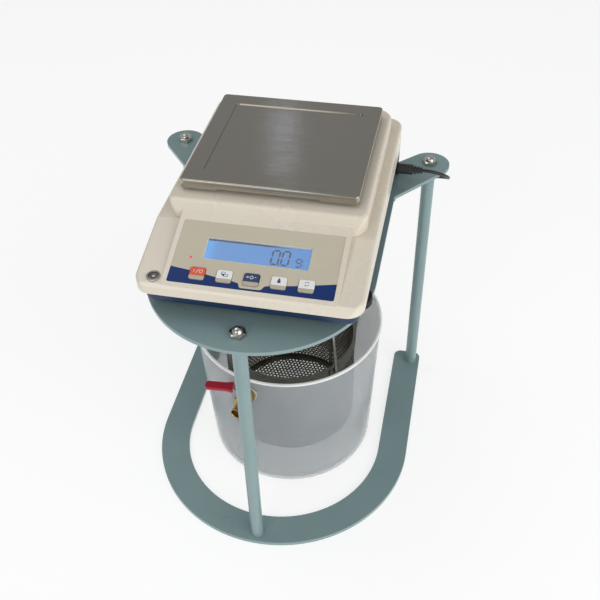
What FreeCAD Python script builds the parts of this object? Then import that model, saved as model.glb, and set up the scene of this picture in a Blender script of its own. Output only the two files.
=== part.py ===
"""Benchtop density meter: a balance on a steel stand weighs a basket that hangs in an overflow bucket.

Millimetres. X is right, Y is back and Z is up. The pieces are drawn from the middle of the base's front arc,
and the finished model's origin is on the bench, in the middle of the stand's outline.
"""

import FreeCAD, Part
import math
import os

V = FreeCAD.Vector

# ---- clearances -------------------------------------------------------------------------------
fit_gap = 0.05  # a pin or stud in its hole
seat_gap = 0.3  # between pieces that move apart
slide_gap = 0.4  # round a key

# ---- stand --------------------------------------------------------------------------------------
stand_height = 320.0  # top of the top plate
base_thickness = 5.0
plate_thickness = 4.0
post_diameter = 14.0
post_reach = 140.5  # posts from the middle, to the front and to each side
rear_post_y = 157.0
leg_width = 34.0
leg_margin = 4.5  # base outside a post
leg_end_margin = 8.0  # base behind a rear post
leg_corner = 9.0
plate_half_width = 110.0
plate_front_margin = 20.5  # plate in front of the front post
ear_radius = 21.5
ear_front_y = 88.0  # where the ears leave the plate's straight sides
plate_rear_y = 150.0
plate_hole = 32.0
stud_diameter = 8.0
stud_length = 9.5
nut_across_flats = 14.0
nut_hex_height = 4.5
nut_dome = 11.0
nut_height = 9.0
base_screw_diameter = 8.0
base_screw_head = 15.6
base_screw_length = 20.0

# ---- balance: outside ---------------------------------------------------------------------------
balance_x = 5.0
balance_width = 206.0
balance_front = -129.5
balance_length = 290.0
balance_corner = 16.0
housing_wall = 2.5
skirt_height = 25.0  # lower edge of the housing over the plate
nose_height = 34.5  # top of the housing's front
ledge_height = 51.0
deck_height = 69.0
block_inset = 10.0  # upper block inside the housing's sides
block_front = -52.0
block_lean = 8.0
block_back_inset = 14.0
block_corner = 18.0
housing_edge = 3.5  # rounding of the housing's outer edges
deck_hole = 24.0

# ---- balance: control panel ---------------------------------------------------------------------
panel_tilt = 17.4  # degrees
panel_shift = 2.0  # control panel right of the housing's middle
panel_y = -121.6  # lower edge of the overlay
panel_z = 36.0
panel_width = 149.5
panel_depth = 67.0
panel_border = 4.5
panel_recess = 1.0
overlay_thickness = 0.6
panel_skin = 2.0
panel_run = 12.0  # the panel's block runs this far into the upper block
panel_room = 30.0  # and the room under the panel this far
display_width = 97.0
display_depth = 24.2
display_x = -0.3
display_y = 27.3
key_width = 14.0
key_depth = 12.6
key_pitch = 24.5
key_y = 11.4
key_corner = 2.0
key_lift = 1.0  # keys over the overlay
key_travel = 0.5
key_names = ("power", "unit", "tare", "print", "mode")
board_drop = 9.0  # display board under the panel's face
board_thickness = 1.6
board_inset = 7.0  # display board inside the overlay's sides
led_x = -59.0
led_y = 27.5
led_diameter = 2.4

# ---- balance: case and feet ---------------------------------------------------------------------
case_height = 9.0  # case floor over the plate
case_front_inset = 9.0
case_side_inset = 5.0
case_wall = 2.5
foot_diameter = 30.0
foot_height = 8.0
foot_stud = 6.0
foot_stud_length = 18.0
foot_side = 13.0  # feet inside the housing's sides
foot_front_y = -79.0
foot_rear_y = 135.0
jack_y = 119.0
jack_z = 15.0  # over the plate
jack_pad_length = 52.0
jack_bore = 5.6
case_screw_diameter = 2.5
case_screw_head = 4.6
case_screw_head_height = 2.0
case_screw_socket = 2.0
case_screw_length = 13.0
board_screw_length = 6.0
case_screw_side = 29.0  # case screws inside the housing's sides, front and back
case_screw_front = 33.5
case_screw_rear = 36.0
lip_gap = 0.8  # between the case's lip and the housing's wall
level_inset_x = 17.5  # the bubble level inside the housing's left side and front
level_inset_y = 12.0
level_diameter = 12.8

# ---- balance: main board --------------------------------------------------------------------------
board_side = 19.0  # main board inside the housing's left side
board_width = 62.0
board_front = -40.0
board_length = 100.0
board_lift = 4.0  # over the case's floor
board_corner = 5.0  # its posts in from the corners
shield_width = 28.0
shield_length = 38.0
shield_height = 5.0
choke_diameter = 14.0
capacitor_diameter = 8.0
capacitor_height = 11.0

# ---- balance: weighing mechanism ----------------------------------------------------------------
pan_width = 168.0
pan_notch = 96.0  # cut-out in the pan's front
pan_length = 160.0
pan_front = -32.0
pan_height = 81.4  # top of the pan over the plate
pan_sheet = 1.2
pan_skirt = 9.0
pan_corner = 4.0
pan_dish = 0.8
pan_border = 18.0
support_thickness = 3.0
support_arm = 56.0
pad_diameter = 12.0
column_diameter = 16.0
cell_length = 100.0
cell_width = 24.0
cell_height = 20.0
cell_gap = 4.0  # under and over the beam
cell_end = 24.0
cell_screw_diameter = 4.0
cell_screw_head = 7.0
cell_screw_head_height = 2.5
cell_screw_socket = 3.0
cell_screw_grip = 10.0  # thread in the beam
hook_thread = 8.0  # the under-hook's stud in the beam
bracket_thickness = 4.0
hook_wire = 4.0
hook_drop = 26.0  # the hook's seat under the plate
hook_radius = 8.0

# ---- bucket and valve ---------------------------------------------------------------------------
bucket_x = 4.3
bucket_y = 31.0
bucket_height = 182.5
bucket_rim_radius = 104.5
bucket_foot_radius = 96.0
bucket_wall = 2.0
bucket_floor = 3.0
bucket_rim = 1.2  # rim bead outside the wall
bucket_rim_depth = 4.0
valve_angle = -102.0  # degrees round the bucket
valve_drop = 22.5  # the valve's axis under the bucket's rim
shank_diameter = 13.0
gasket_thickness = 1.5
gasket_diameter = 18.0
flange_thickness = 3.0
flange_diameter = 16.0
nut_thickness = 4.5
valve_nut_flats = 17.0
body_diameter = 16.0
body_length = 14.0
collar_flats = 18.0
collar_length = 4.0
valve_bore = 5.0
ball_diameter = 10.0
stem_diameter = 4.5
outlet_length = 13.5
outlet_diameter = 13.2
outlet_wall = 1.2
outlet_spigot = 1.6  # how far the outlet goes into the body
spigot_diameter = 9.0
lever_length = 41.0
lever_width = 7.0
lever_thickness = 1.6
lever_rise = 6.5
lever_angle = 184.0  # degrees, the way the lever points
sleeve_start = 11.0  # from the stem
sleeve_skin = 1.4
sleeve_flare = 6.2  # half of the sleeve's width at its stem end

# ---- basket -------------------------------------------------------------------------------------
basket_radius = 75.0
basket_bottom_z = 38.0
basket_height = 120.0
basket_sheet = 1.0
basket_rim_height = 8.5
bail_angle = -38.0  # degrees round the basket
bail_wire = 3.0
bail_pin_drop = 6.0
bail_lean = 12.0  # each leg leans in by this much
bail_ring_bore = 8.0
ear_size = 14.0
ear_sheet = 1.5

# ---- power lead ---------------------------------------------------------------------------------
cord_diameter = 3.5
plug_diameter = 10.8
plug_length = 17.0
relief_length = 10.0
relief_start = 9.0  # its first and last rib
relief_end = 6.8
relief_ribs = 3
cord_route = [  # after the strain relief: past the plate's ear, round behind its post and down to the bench
    (143.8, 119.0, 335.0),
    (153.0, 121.5, 331.2),
    (159.4, 128.2, 325.0),
    (162.8, 138.0, 316.5),
    (162.8, 149.0, 308.6),
    (158.3, 160.3, 301.3),
    (149.0, 169.8, 294.8),
    (135.0, 176.5, 287.5),
    (118.5, 180.5, 275.5),
    (104.5, 182.0, 256.0),
    (94.0, 184.0, 227.0),
    (84.5, 186.5, 188.5),
    (76.0, 187.5, 144.0),
    (69.5, 186.0, 100.0),
    (65.0, 182.5, 62.0),
    (62.2, 179.0, 37.5),
    (61.2, 177.6, 24.5),
    (60.3, 180.0, 13.2),
    (60.0, 187.6, 5.4),
    (57.8, 196.8, 2.4),
    (52.8, 204.4, 1.9),
]
coil_x = 30.0
coil_y = 188.0
coil_radius = 20.0  # to the middle of the bundle
coil_columns = 4
coil_layers = 2
layer_rise = 1.0  # of a diameter, from one layer of turns to the next
tail_route = [  # from the coil to the adapter
    (33.5, 215.8, 4.6),
    (20.0, 217.2, 2.6),
    (7.0, 215.6, 3.2),
    (-5.0, 212.8, 6.4),
    (-16.0, 211.6, 10.2),
]
adapter_length = 62.0
adapter_width = 42.0
adapter_height = 28.0
adapter_x = -64.0
adapter_y = 204.0
pin_diameter = 4.0
pin_length = 19.0
pin_spacing = 19.0
tie_width = 6.0
tie_skin = 1.1
tie_room = 0.5


# ---- shapes ---------------------------------------------------------------------------------------
def box(x0, x1, y0, y1, z0, z1):
    return Part.makeBox(x1 - x0, y1 - y0, z1 - z0, V(x0, y0, z0))


def cylinder(x, y, z0, z1, diameter):
    return Part.makeCylinder(diameter / 2, z1 - z0, V(x, y, z0))


def cone(x, y, z0, z1, d0, d1):
    return Part.makeCone(d0 / 2, d1 / 2, z1 - z0, V(x, y, z0))


def vertical_edges(shape):
    """The straight edges of a shape that run along Z."""
    found = []
    for edge in shape.Edges:
        a, b = edge.Vertexes[0].Point, edge.Vertexes[-1].Point
        if abs(a.x - b.x) + abs(a.y - b.y) < 1e-6 and abs(a.z - b.z) > 1e-6:
            found.append(edge)
    return found


def rounded_box(x0, x1, y0, y1, z0, z1, corner):
    block = box(x0, x1, y0, y1, z0, z1)
    return block.makeFillet(corner, vertical_edges(block))


def hexagon(x, y, z0, z1, across_flats):
    corner = across_flats / math.sqrt(3)
    angles = [k * math.pi / 3 for k in range(7)]
    points = [V(x + corner * math.cos(a), y + corner * math.sin(a), z0) for a in angles]
    return Part.Face(Part.makePolygon(points)).extrude(V(0, 0, z1 - z0))


def along_x(profile, x0, x1):
    """A solid with the same outline of (y, z) points from x0 to x1."""
    points = [V(x0, y, z) for y, z in profile]
    return Part.Face(Part.makePolygon(points + points[:1])).extrude(V(x1 - x0, 0, 0))


def turned(profile, x=0.0, y=0.0):
    """A solid of revolution from (radius, z) points, about the vertical line through x, y."""
    points = [V(x + r, y, z) for r, z in profile]
    return Part.Face(Part.makePolygon(points + points[:1])).revolve(V(x, y, 0), V(0, 0, 1), 360)


def joined(shapes):
    return shapes[0].fuse(list(shapes[1:])).removeSplitter()


def turn_and_move(shape, axis, degrees, to):
    shape = shape.copy()
    shape.rotate(V(0, 0, 0), axis, degrees)
    shape.translate(to)
    return shape


def tangent_point(outside, centre, radius, side):
    """Where a line from a point outside a circle touches it; side is 1 or -1."""
    gap = centre - outside
    swing = side * math.acos(radius / gap.Length)
    back = math.atan2(-gap.y, -gap.x) + swing
    return centre + V(radius * math.cos(back), radius * math.sin(back), 0)


def wire_path(points, radii):
    """Straight runs joined by arcs: one radius for each point between the ends."""
    edges = []
    last = points[0]
    for before, corner, after, radius in zip(points, points[1:], points[2:], radii):
        run_in = (corner - before).normalize()
        run_out = (after - corner).normalize()
        half = run_in.getAngle(run_out) / 2
        start = corner - run_in * (radius * math.tan(half))
        end = corner + run_out * (radius * math.tan(half))
        inward = (run_out - run_in).normalize()
        middle = corner + inward * (radius / math.cos(half) - radius)
        edges.append(Part.LineSegment(last, start).toShape())
        edges.append(Part.Arc(start, middle, end).toShape())
        last = end
    edges.append(Part.LineSegment(last, points[-1]).toShape())
    return Part.Wire(edges)


def rod(points, radii, diameter):
    """A round wire or cord along straight runs and arcs."""
    path = wire_path(points, radii)
    circle = Part.Wire(Part.Circle(points[0], points[1] - points[0], diameter / 2).toShape())
    return path.makePipeShell([circle], True, True), path.Length


def sphere(centre, diameter):
    return Part.makeSphere(diameter / 2, centre)


# ---- stand --------------------------------------------------------------------------------------
post_places = {
    "front": (0.0, -post_reach),
    "rear_right": (post_reach, rear_post_y),
    "rear_left": (-post_reach, rear_post_y),
}
plate_under = stand_height - plate_thickness


def base_plate():
    outer = post_reach + post_diameter / 2 + leg_margin
    inner = outer - leg_width
    back = rear_post_y + post_diameter / 2 + leg_end_margin
    whole = joined([cylinder(0, 0, 0, base_thickness, 2 * outer), box(-outer, outer, 0, back, 0, base_thickness)])
    opening = joined([cylinder(0, 0, -1, base_thickness + 1, 2 * inner),
                      box(-inner, inner, 0, back + 1, -1, base_thickness + 1)])
    front_and_legs = whole.cut(opening)
    ends = [edge for edge in vertical_edges(front_and_legs) if edge.CenterOfMass.y > back - 1]
    plate = front_and_legs.makeFillet(leg_corner, ends)
    hole = base_screw_diameter + 2 * fit_gap
    head = base_screw_head + 2 * fit_gap
    for x, y in post_places.values():
        plate = plate.cut(cylinder(x, y, -1, base_thickness + 1, hole))
        plate = plate.cut(cone(x, y, 0, (head - hole) / 2, head, hole))
    return plate


def post(x, y):
    """A turned bar with a stud on top for the dome nut and a tapped hole below."""
    bar = cylinder(x, y, base_thickness, plate_under, post_diameter)
    stud = cylinder(x, y, plate_under, plate_under + stud_length, stud_diameter)
    hole = cylinder(x, y, base_thickness, base_thickness + base_screw_length, base_screw_diameter + 2 * fit_gap)
    return joined([bar, stud]).cut(hole)


def base_screw(x, y):
    depth = (base_screw_head - base_screw_diameter) / 2
    shank = cylinder(x, y, depth, base_thickness + base_screw_length - 2, base_screw_diameter)
    head = cone(x, y, 0.2, depth, base_screw_head - 0.4, base_screw_diameter)
    socket = hexagon(x, y, 0, 2.6, 4.0)
    return joined([shank, head]).cut(socket)


def dome_nut(x, y):
    z = stand_height
    top = z + nut_hex_height
    corner = nut_across_flats / math.sqrt(3)
    prism = hexagon(x, y, z, top, nut_across_flats)
    edges = [(0, z), (corner - 0.6, z), (corner, z + 0.6), (corner, top - 0.9), (corner - 1.7, top), (0, top)]
    prism = prism.common(turned(edges, x, y))
    centre = V(x, y, z + nut_height - nut_dome / 2)
    upper = box(x - corner, x + corner, y - corner, y + corner, z + 1, z + nut_height)
    dome = sphere(centre, nut_dome).common(upper)
    bore = cylinder(x, y, z, plate_under + stud_length + seat_gap, stud_diameter + 2 * fit_gap)
    return joined([prism, dome]).cut(bore)


def top_plate():
    """A plate with a round front, straight sides and an ear over each rear post."""
    z, t = plate_under, plate_thickness
    centre_y = -post_reach - plate_front_margin + plate_half_width
    w = plate_half_width
    front = cylinder(0, centre_y, z, z + t, 2 * w)
    middle = box(-w, w, centre_y, ear_front_y, z, z + t)
    pieces = [front, middle]
    for side in (-1, 1):
        centre = V(side * post_reach, rear_post_y, z)
        low = V(side * w, ear_front_y, z)
        back = V(side * (w - 7), plate_rear_y, z)
        outer = tangent_point(low, centre, ear_radius, side)
        inner = tangent_point(back, centre, ear_radius, -side)
        edge = [V(0, ear_front_y, z), low, outer, centre, inner, back, V(0, plate_rear_y, z)]
        pieces.append(Part.Face(Part.makePolygon(edge + edge[:1])).extrude(V(0, 0, t)))
        pieces.append(cylinder(centre.x, centre.y, z, z + t, 2 * ear_radius))
    plate = joined(pieces)
    for x, y in post_places.values():
        plate = plate.cut(cylinder(x, y, z - 1, z + t + 1, stud_diameter + 0.6))
    return plate.cut(cylinder(hook_place.x, hook_place.y, z - 1, z + t + 1, plate_hole))


# ---- balance: housing -----------------------------------------------------------------------------
bench = stand_height  # the balance stands on the plate
balance_back = balance_front + balance_length
balance_left = balance_x - balance_width / 2
balance_right = balance_x + balance_width / 2
pan_y = pan_front + pan_length / 2
hook_place = V(balance_x, bucket_y, 0)
panel_origin = V(balance_x + panel_shift, panel_y, bench + panel_z)
panel_rise = math.tan(math.radians(panel_tilt))


def on_panel(shape):
    """Moves a piece from the panel's own axes: x right, y up the slope and z out of its face."""
    return turn_and_move(shape, V(1, 0, 0), panel_tilt, panel_origin)


def key_x(k):
    return (k - (len(key_names) - 1) / 2) * key_pitch


def lower_form(inset):
    """The housing's wide lower part, drawn in by an inset on every side but below."""
    shoulder_y = balance_front + 4.5 + inset
    profile = [
        (balance_front + inset, bench + skirt_height),
        (balance_front + 2.2 + inset, bench + nose_height - 3 - inset * 0.6),
        (shoulder_y, bench + nose_height - inset),
        (block_front, bench + ledge_height - inset),
        (balance_back - inset, bench + ledge_height - inset),
        (balance_back - inset, bench + skirt_height),
    ]
    slab = along_x(profile, balance_left - 1, balance_right + 1)
    corner = balance_corner - inset
    outline = rounded_box(balance_left + inset, balance_right - inset, balance_front + inset, balance_back - inset,
                          bench + skirt_height - 1, bench + deck_height, corner)
    return slab.common(outline)


def block_form(inset, low):
    """The raised block under the pan, with a leaning front."""
    left, right = balance_left + block_inset + inset, balance_right - block_inset - inset
    back = balance_back - block_back_inset - inset
    top = bench + deck_height - inset
    block = rounded_box(left, right, block_front + inset, back, low, top, block_corner - inset)
    slope_top = (block_front + inset + block_lean, top)
    slope_low = (block_front + inset, bench + ledge_height)
    ahead = 2 * block_lean
    wedge = along_x([slope_low, slope_top, (slope_top[0] - ahead, top + 1), (slope_low[0] - ahead, slope_low[1])],
                    left - 1, right + 1)
    return block.cut(wedge)


def panel_wedge(inset, top, bottom):
    """The sloping block that carries the control panel, in the panel's own axes."""
    half = panel_width / 2 + panel_border - inset
    return rounded_box(-half, half, -panel_border + inset, panel_depth + panel_border + 6 - inset, bottom, top, 2.5)


def upper_housing():
    outer = lower_form(0)
    rim = [edge for edge in outer.Edges
           if edge.BoundBox.ZMin > bench + nose_height - 3.2 and edge.BoundBox.XLength < balance_width - 1
           and edge.BoundBox.YLength > 1]
    outer = outer.makeFillet(housing_edge - 0.5, rim)
    block = block_form(0, bench + skirt_height + 10)
    crown = [edge for edge in block.Edges if edge.BoundBox.ZMin > bench + deck_height - 0.01]
    block = block.makeFillet(housing_edge, crown)
    wedge = on_panel(panel_wedge(0, 0, -board_drop))
    wedge = wedge.common(box(balance_left, balance_right, balance_front, block_front + panel_run,
                             bench + skirt_height + 2, bench + deck_height))
    solid = joined([outer, block, wedge])
    room = joined([lower_form(housing_wall), block_form(housing_wall, bench + skirt_height)])
    room = room.fuse(box(balance_left + 20, balance_right - 20, balance_front + 12, balance_back - 12,
                         bench + skirt_height - 1, bench + skirt_height + 1))
    under = panel_wedge(housing_wall + 1.5, -panel_recess - panel_skin, -26)
    cover = on_panel(under).common(box(balance_left, balance_right, balance_front + 4, block_front + panel_room,
                                       bench + skirt_height, bench + deck_height))
    shell = solid.cut(room).cut(cover)
    shell = shell.cut(on_panel(panel_openings(slide_gap, 0.8, -14, 2)))
    shell = shell.cut(cylinder(balance_x, pan_y, bench + 40, bench + deck_height + 1, deck_hole))
    shell = shell.cut(level_pocket())
    pillars = [on_panel(cylinder(x, y, -board_drop, -panel_recess - panel_skin + 0.2, 6.0))
               for x, y in board_fixings]
    tap = case_screw_diameter + 2 * fit_gap
    deep = board_screw_length - board_thickness + 0.6
    holes = [on_panel(cylinder(x, y, -board_drop - 1, -board_drop + deep, tap)) for x, y in board_fixings]
    bosses = [cylinder(x, y, case_floor + case_wall, boss_top(y), 8.0) for x, y in case_fixings]
    holes += [cylinder(x, y, case_floor, case_floor + case_screw_length + 1, tap) for x, y in case_fixings]
    shell = joined([shell] + pillars + bosses).cut(on_panel(panel_pocket()))
    for hole in holes:
        shell = shell.cut(hole)
    return shell


case_fixings = [(x, y) for x in (balance_left + case_screw_side, balance_right - case_screw_side)
                for y in (balance_front + case_screw_front, balance_back - case_screw_rear)]
board_fixings = [(side * (panel_width / 2 - board_inset - 4), y)
                 for side in (-1, 1) for y in (6.0, panel_depth - 6.0)]


def boss_top(y):
    """How high a screw boss goes to meet the housing's roof."""
    if y > block_front + block_lean + 6:
        return bench + deck_height - housing_wall + 0.5
    return bench + panel_z + (y - panel_y) * panel_rise - panel_recess - 1.2


def panel_pocket():
    half = panel_width / 2 + fit_gap
    return rounded_box(-half, half, -fit_gap, panel_depth + fit_gap, -panel_recess, 4, 2.0)


def panel_openings(key_gap, window_ledge, low, high):
    """The holes for the display, the keys and the lamp, in the panel's own axes."""
    x0, x1 = display_x - display_width / 2 + window_ledge, display_x + display_width / 2 - window_ledge
    shapes = [box(x0, x1, display_y + window_ledge, display_y + display_depth - window_ledge, low, high)]
    for k in range(len(key_names)):
        half_w, half_d = key_width / 2 + key_gap, key_depth / 2 + key_gap
        shapes.append(rounded_box(key_x(k) - half_w, key_x(k) + half_w, key_y - half_d, key_y + half_d, low, high,
                                  key_corner + key_gap))
    shapes.append(cylinder(led_x, led_y, low, high, led_diameter + 2 * fit_gap))
    return Part.makeCompound(shapes)


def panel_overlay():
    half = panel_width / 2
    face = -panel_recess
    sheet = rounded_box(-half, half, 0, panel_depth, face, face + overlay_thickness, 2.0)
    return on_panel(sheet.cut(panel_openings(slide_gap, 0, face - 1, face + 2)))


def lcd_window():
    x0 = display_x - display_width / 2 + fit_gap
    x1 = display_x + display_width / 2 - fit_gap
    y0, y1 = display_y + fit_gap, display_y + display_depth - fit_gap
    return on_panel(box(x0, x1, y0, y1, -panel_recess, -panel_recess + overlay_thickness))


def lcd_module():
    """A glass on a tray with its backlight, standing on the display board."""
    top = -panel_recess - panel_skin
    x0, x1 = display_x - display_width / 2, display_x + display_width / 2
    y0, y1 = display_y, display_y + display_depth
    glass = box(x0 - 1, x1 + 1, y0 - 1, y1 + 1, top - 2.8, top)
    tray = box(x0 - 3.5, x1 + 3.5, y0 - 2.2, y1 + 2.2, -board_drop, top - 2.8)
    return on_panel(joined([glass, tray]))


def display_board():
    half = panel_width / 2 - board_inset
    sheet = box(-half, half, 2, panel_depth - 1, -board_drop - board_thickness, -board_drop)
    for x, y in board_fixings:
        sheet = sheet.cut(cylinder(x, y, -board_drop - 3, -board_drop + 1, case_screw_diameter + 2 * fit_gap))
    return on_panel(sheet)


key_stem_end = -5.0
switch_top = key_stem_end - key_travel - seat_gap


def key_switches():
    switches = []
    for k in range(len(key_names)):
        x = key_x(k)
        body = box(x - 3, x + 3, key_y - 3, key_y + 3, -board_drop, switch_top - 0.8)
        switches.append(on_panel(joined([body, cylinder(x, key_y, switch_top - 0.8, switch_top, 3.5)])))
    return Part.makeCompound(switches)


def key(k):
    """A cap that comes up through the panel, a flange that holds it in and a stem over its switch."""
    x = key_x(k)
    under = -panel_recess - panel_skin - seat_gap
    cap = rounded_box(x - key_width / 2, x + key_width / 2, key_y - key_depth / 2, key_y + key_depth / 2,
                      under - 1, -panel_recess + overlay_thickness + key_lift, key_corner)
    key_face = -panel_recess + overlay_thickness + key_lift
    crown = [edge for edge in cap.Edges if edge.BoundBox.ZMin > key_face - 0.01]
    cap = cap.makeFillet(0.5, crown)
    flange = box(x - key_width / 2 - 1.2, x + key_width / 2 + 1.2, key_y - key_depth / 2 - 1.2,
                 key_y + key_depth / 2 + 1.2, under - 1, under)
    stem = cylinder(x, key_y, key_stem_end, under - 0.5, 5.0)
    return on_panel(joined([cap, flange, stem]))


def power_led():
    lens = cylinder(led_x, led_y, -board_drop, -panel_recess + overlay_thickness + 0.2, led_diameter)
    return on_panel(joined([lens, cylinder(led_x, led_y, -board_drop, -board_drop + 1, led_diameter + 1)]))


# ---- bubble level ---------------------------------------------------------------------------------
level_slope = math.degrees(math.atan2(ledge_height - nose_height, block_front - balance_front - 4.5))
level_spot = V(balance_left + level_inset_x, balance_front + level_inset_y,
               bench + nose_height + (level_inset_y - 4.5) * math.tan(math.radians(level_slope)))
level_depth = 7.0


def level_pocket():
    return Part.makeCylinder((level_diameter + 2 * fit_gap) / 2, 40, level_spot + V(0, 0, -level_depth))


def bubble_level_cup():
    """A cup let into the housing's front left corner, with its brim on the slope."""
    x, y, z = level_spot.x, level_spot.y, level_spot.z
    top = z + 0.8
    wall, floor = 1.6, 1.5
    cup = cylinder(x, y, z - level_depth, top, level_diameter)
    return cup.cut(cylinder(x, y, z - level_depth + floor, top + 1, level_diameter - 2 * wall))


def bubble_level_vial():
    x, y, z = level_spot.x, level_spot.y, level_spot.z
    wall, floor = 1.6, 1.5
    d = level_diameter - 2 * wall - 2 * fit_gap
    base = z - level_depth + floor
    return turned([(0, base), (d / 2, base), (d / 2, base + 4.6), (d / 2 - 1.0, base + 5.3), (0, base + 5.7)], x, y)


# ---- lower case -----------------------------------------------------------------------------------
case_left = balance_left + case_side_inset
case_right = balance_right - case_side_inset
case_front = balance_front + case_front_inset
case_back = balance_back - case_side_inset
case_floor = bench + case_height
foot_places = {
    "front_right": (balance_right - foot_side, foot_front_y),
    "front_left": (balance_left + foot_side, foot_front_y),
    "rear_right": (balance_right - foot_side, foot_rear_y),
    "rear_left": (balance_left + foot_side, foot_rear_y),
}
cell_y0 = bucket_y - cell_end / 2  # the beam's free end hangs over the bucket's middle
cell_y1 = cell_y0 + cell_length
cell_z0 = case_floor + case_wall + cell_gap + 5
cell_z1 = cell_z0 + cell_height


def lower_case():
    top = bench + skirt_height + 1.5
    corner = balance_corner - case_side_inset
    tray = rounded_box(case_left, case_right, case_front, case_back, case_floor, top, corner)
    low = [edge for edge in tray.Edges if edge.BoundBox.ZMax < case_floor + 0.01]
    tray = tray.makeFillet(2.0, low)
    w = case_wall
    tray = tray.cut(rounded_box(case_left + w, case_right - w, case_front + w, case_back - w,
                                case_floor + w, top + 1, corner - w))
    reach = housing_wall + lip_gap
    lip = rounded_box(balance_left + reach, balance_right - reach, balance_front + reach, balance_back - reach,
                      bench + skirt_height, top, balance_corner - reach)
    lip = lip.cut(rounded_box(case_left + w, case_right - w, case_front + w, case_back - w,
                              bench + skirt_height - 1, top + 1, corner - w))
    pad = rounded_box(case_right - w, balance_right - seat_gap, jack_y - jack_pad_length / 2,
                      jack_y + jack_pad_length / 2, case_floor + 2, bench + skirt_height - seat_gap, 1.5)
    foot_bosses = [cylinder(x, y, case_floor, case_floor + foot_stud_length - 6, foot_stud + 5)
                   for x, y in foot_places.values()]
    board_posts = [cylinder(x, y, case_floor + w - 0.5, main_board_z, 6.0) for x, y in main_board_fixings]
    case = joined([tray, lip, pad] + foot_bosses + board_posts)
    for x, y in foot_places.values():
        case = case.cut(cylinder(x, y, case_floor - 1, bench + foot_stud_length + 1, foot_stud + 2 * fit_gap))
    for x, y in case_fixings:
        case = case.cut(cylinder(x, y, case_floor - 1, case_floor + w + 1, case_screw_diameter + 2 * fit_gap))
    for x, y in cell_fixings:
        case = case.cut(cylinder(x, y, case_floor - 1, case_floor + w + 1, cell_screw_diameter + 2 * fit_gap))
    case = case.cut(cylinder(hook_place.x, hook_place.y, case_floor - 1, case_floor + w + 1, 16.0))
    return case.cut(jack_room())


def foot(x, y):
    """A knurled disc on a stud; the stud turns in the case."""
    disc = cylinder(x, y, bench, bench + foot_height, foot_diameter)
    edges = [edge for edge in disc.Edges if edge.BoundBox.ZLength < 0.01]
    disc = disc.makeChamfer(1.0, edges)
    for k in range(18):
        a = 2 * math.pi * k / 18
        r = foot_diameter / 2 + 0.5
        px, py = x + r * math.cos(a), y + r * math.sin(a)
        disc = disc.cut(cylinder(px, py, bench - 1, bench + foot_height + 1, 2.2))
    stud = cylinder(x, y, bench + foot_height - 0.5, bench + foot_stud_length, foot_stud)
    return joined([disc, stud])


def case_screw(x, y, seat, length):
    """A small socket screw that points up, with the underside of its head at the seat."""
    h = case_screw_head_height
    head = cylinder(x, y, seat - h, seat, case_screw_head)
    socket = hexagon(x, y, seat - h - 1, seat - 0.4 * h, case_screw_socket)
    return joined([head.cut(socket), cylinder(x, y, seat - 0.5, seat + length, case_screw_diameter)])


def case_screws():
    """Four that hold the case to the housing and four that hold the display board to its pillars."""
    board_seat = -board_drop - board_thickness
    screws = [case_screw(x, y, case_floor, case_screw_length) for x, y in case_fixings]
    screws += [on_panel(case_screw(x, y, board_seat, board_screw_length)) for x, y in board_fixings]
    return Part.makeCompound(screws)


main_board_z = case_floor + case_wall + board_lift
main_board_x0 = balance_left + board_side
main_board_x1 = main_board_x0 + board_width
main_board_y0, main_board_y1 = board_front, board_front + board_length
main_board_fixings = [(x, y) for x in (main_board_x0 + board_corner, main_board_x1 - board_corner)
                      for y in (main_board_y0 + board_corner, main_board_y1 - board_corner)]


def main_board():
    """The measuring board, with its shielded converter, a choke and two capacitors."""
    z = main_board_z
    t = board_thickness
    x0, y0 = main_board_x0, main_board_y0
    sheet = box(x0, main_board_x1, y0, main_board_y1, z, z + t)
    shield_y = y0 + 14
    choke_y = shield_y + shield_length + 8 + choke_diameter
    shield = box(x0 + 12, x0 + 12 + shield_width, shield_y, shield_y + shield_length, z + t, z + t + shield_height)
    choke = cylinder(x0 + 20, choke_y, z + t, z + t + choke_diameter * 0.43, choke_diameter)
    caps = [cylinder(x0 + 44, choke_y + dy, z + t, z + t + capacitor_height, capacitor_diameter)
            for dy in (-0.75 * capacitor_diameter, 0.75 * capacitor_diameter)]
    return joined([sheet, shield, choke] + caps)


# ---- power jack -----------------------------------------------------------------------------------
jack_axis_z = bench + jack_z
jack_face = balance_right - seat_gap


def round_bar(x0, x1, y, z, d0, d1=None):
    """A round bar or cone along X."""
    direction = V(1, 0, 0)
    if d1 is None or abs(d1 - d0) < 1e-9:
        return Part.makeCylinder(d0 / 2, x1 - x0, V(x0, y, z), direction)
    return Part.makeCone(d0 / 2, d1 / 2, x1 - x0, V(x0, y, z), direction)


def jack_room():
    return round_bar(case_right - case_wall - 1, jack_face + 1, jack_y, jack_axis_z, jack_bore + 4.4)


def dc_jack():
    """A moulded jack behind the case wall, its collar in the hole."""
    back = case_right - case_wall
    body = box(back - 11, back, jack_y - 5, jack_y + 5, case_floor + case_wall, jack_axis_z + 5.5)
    collar = round_bar(back - 0.5, jack_face, jack_y, jack_axis_z, jack_bore + 4.2)
    bore = round_bar(back - 8, jack_face + 1, jack_y, jack_axis_z, jack_bore)
    return joined([body, collar]).cut(bore)


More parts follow.
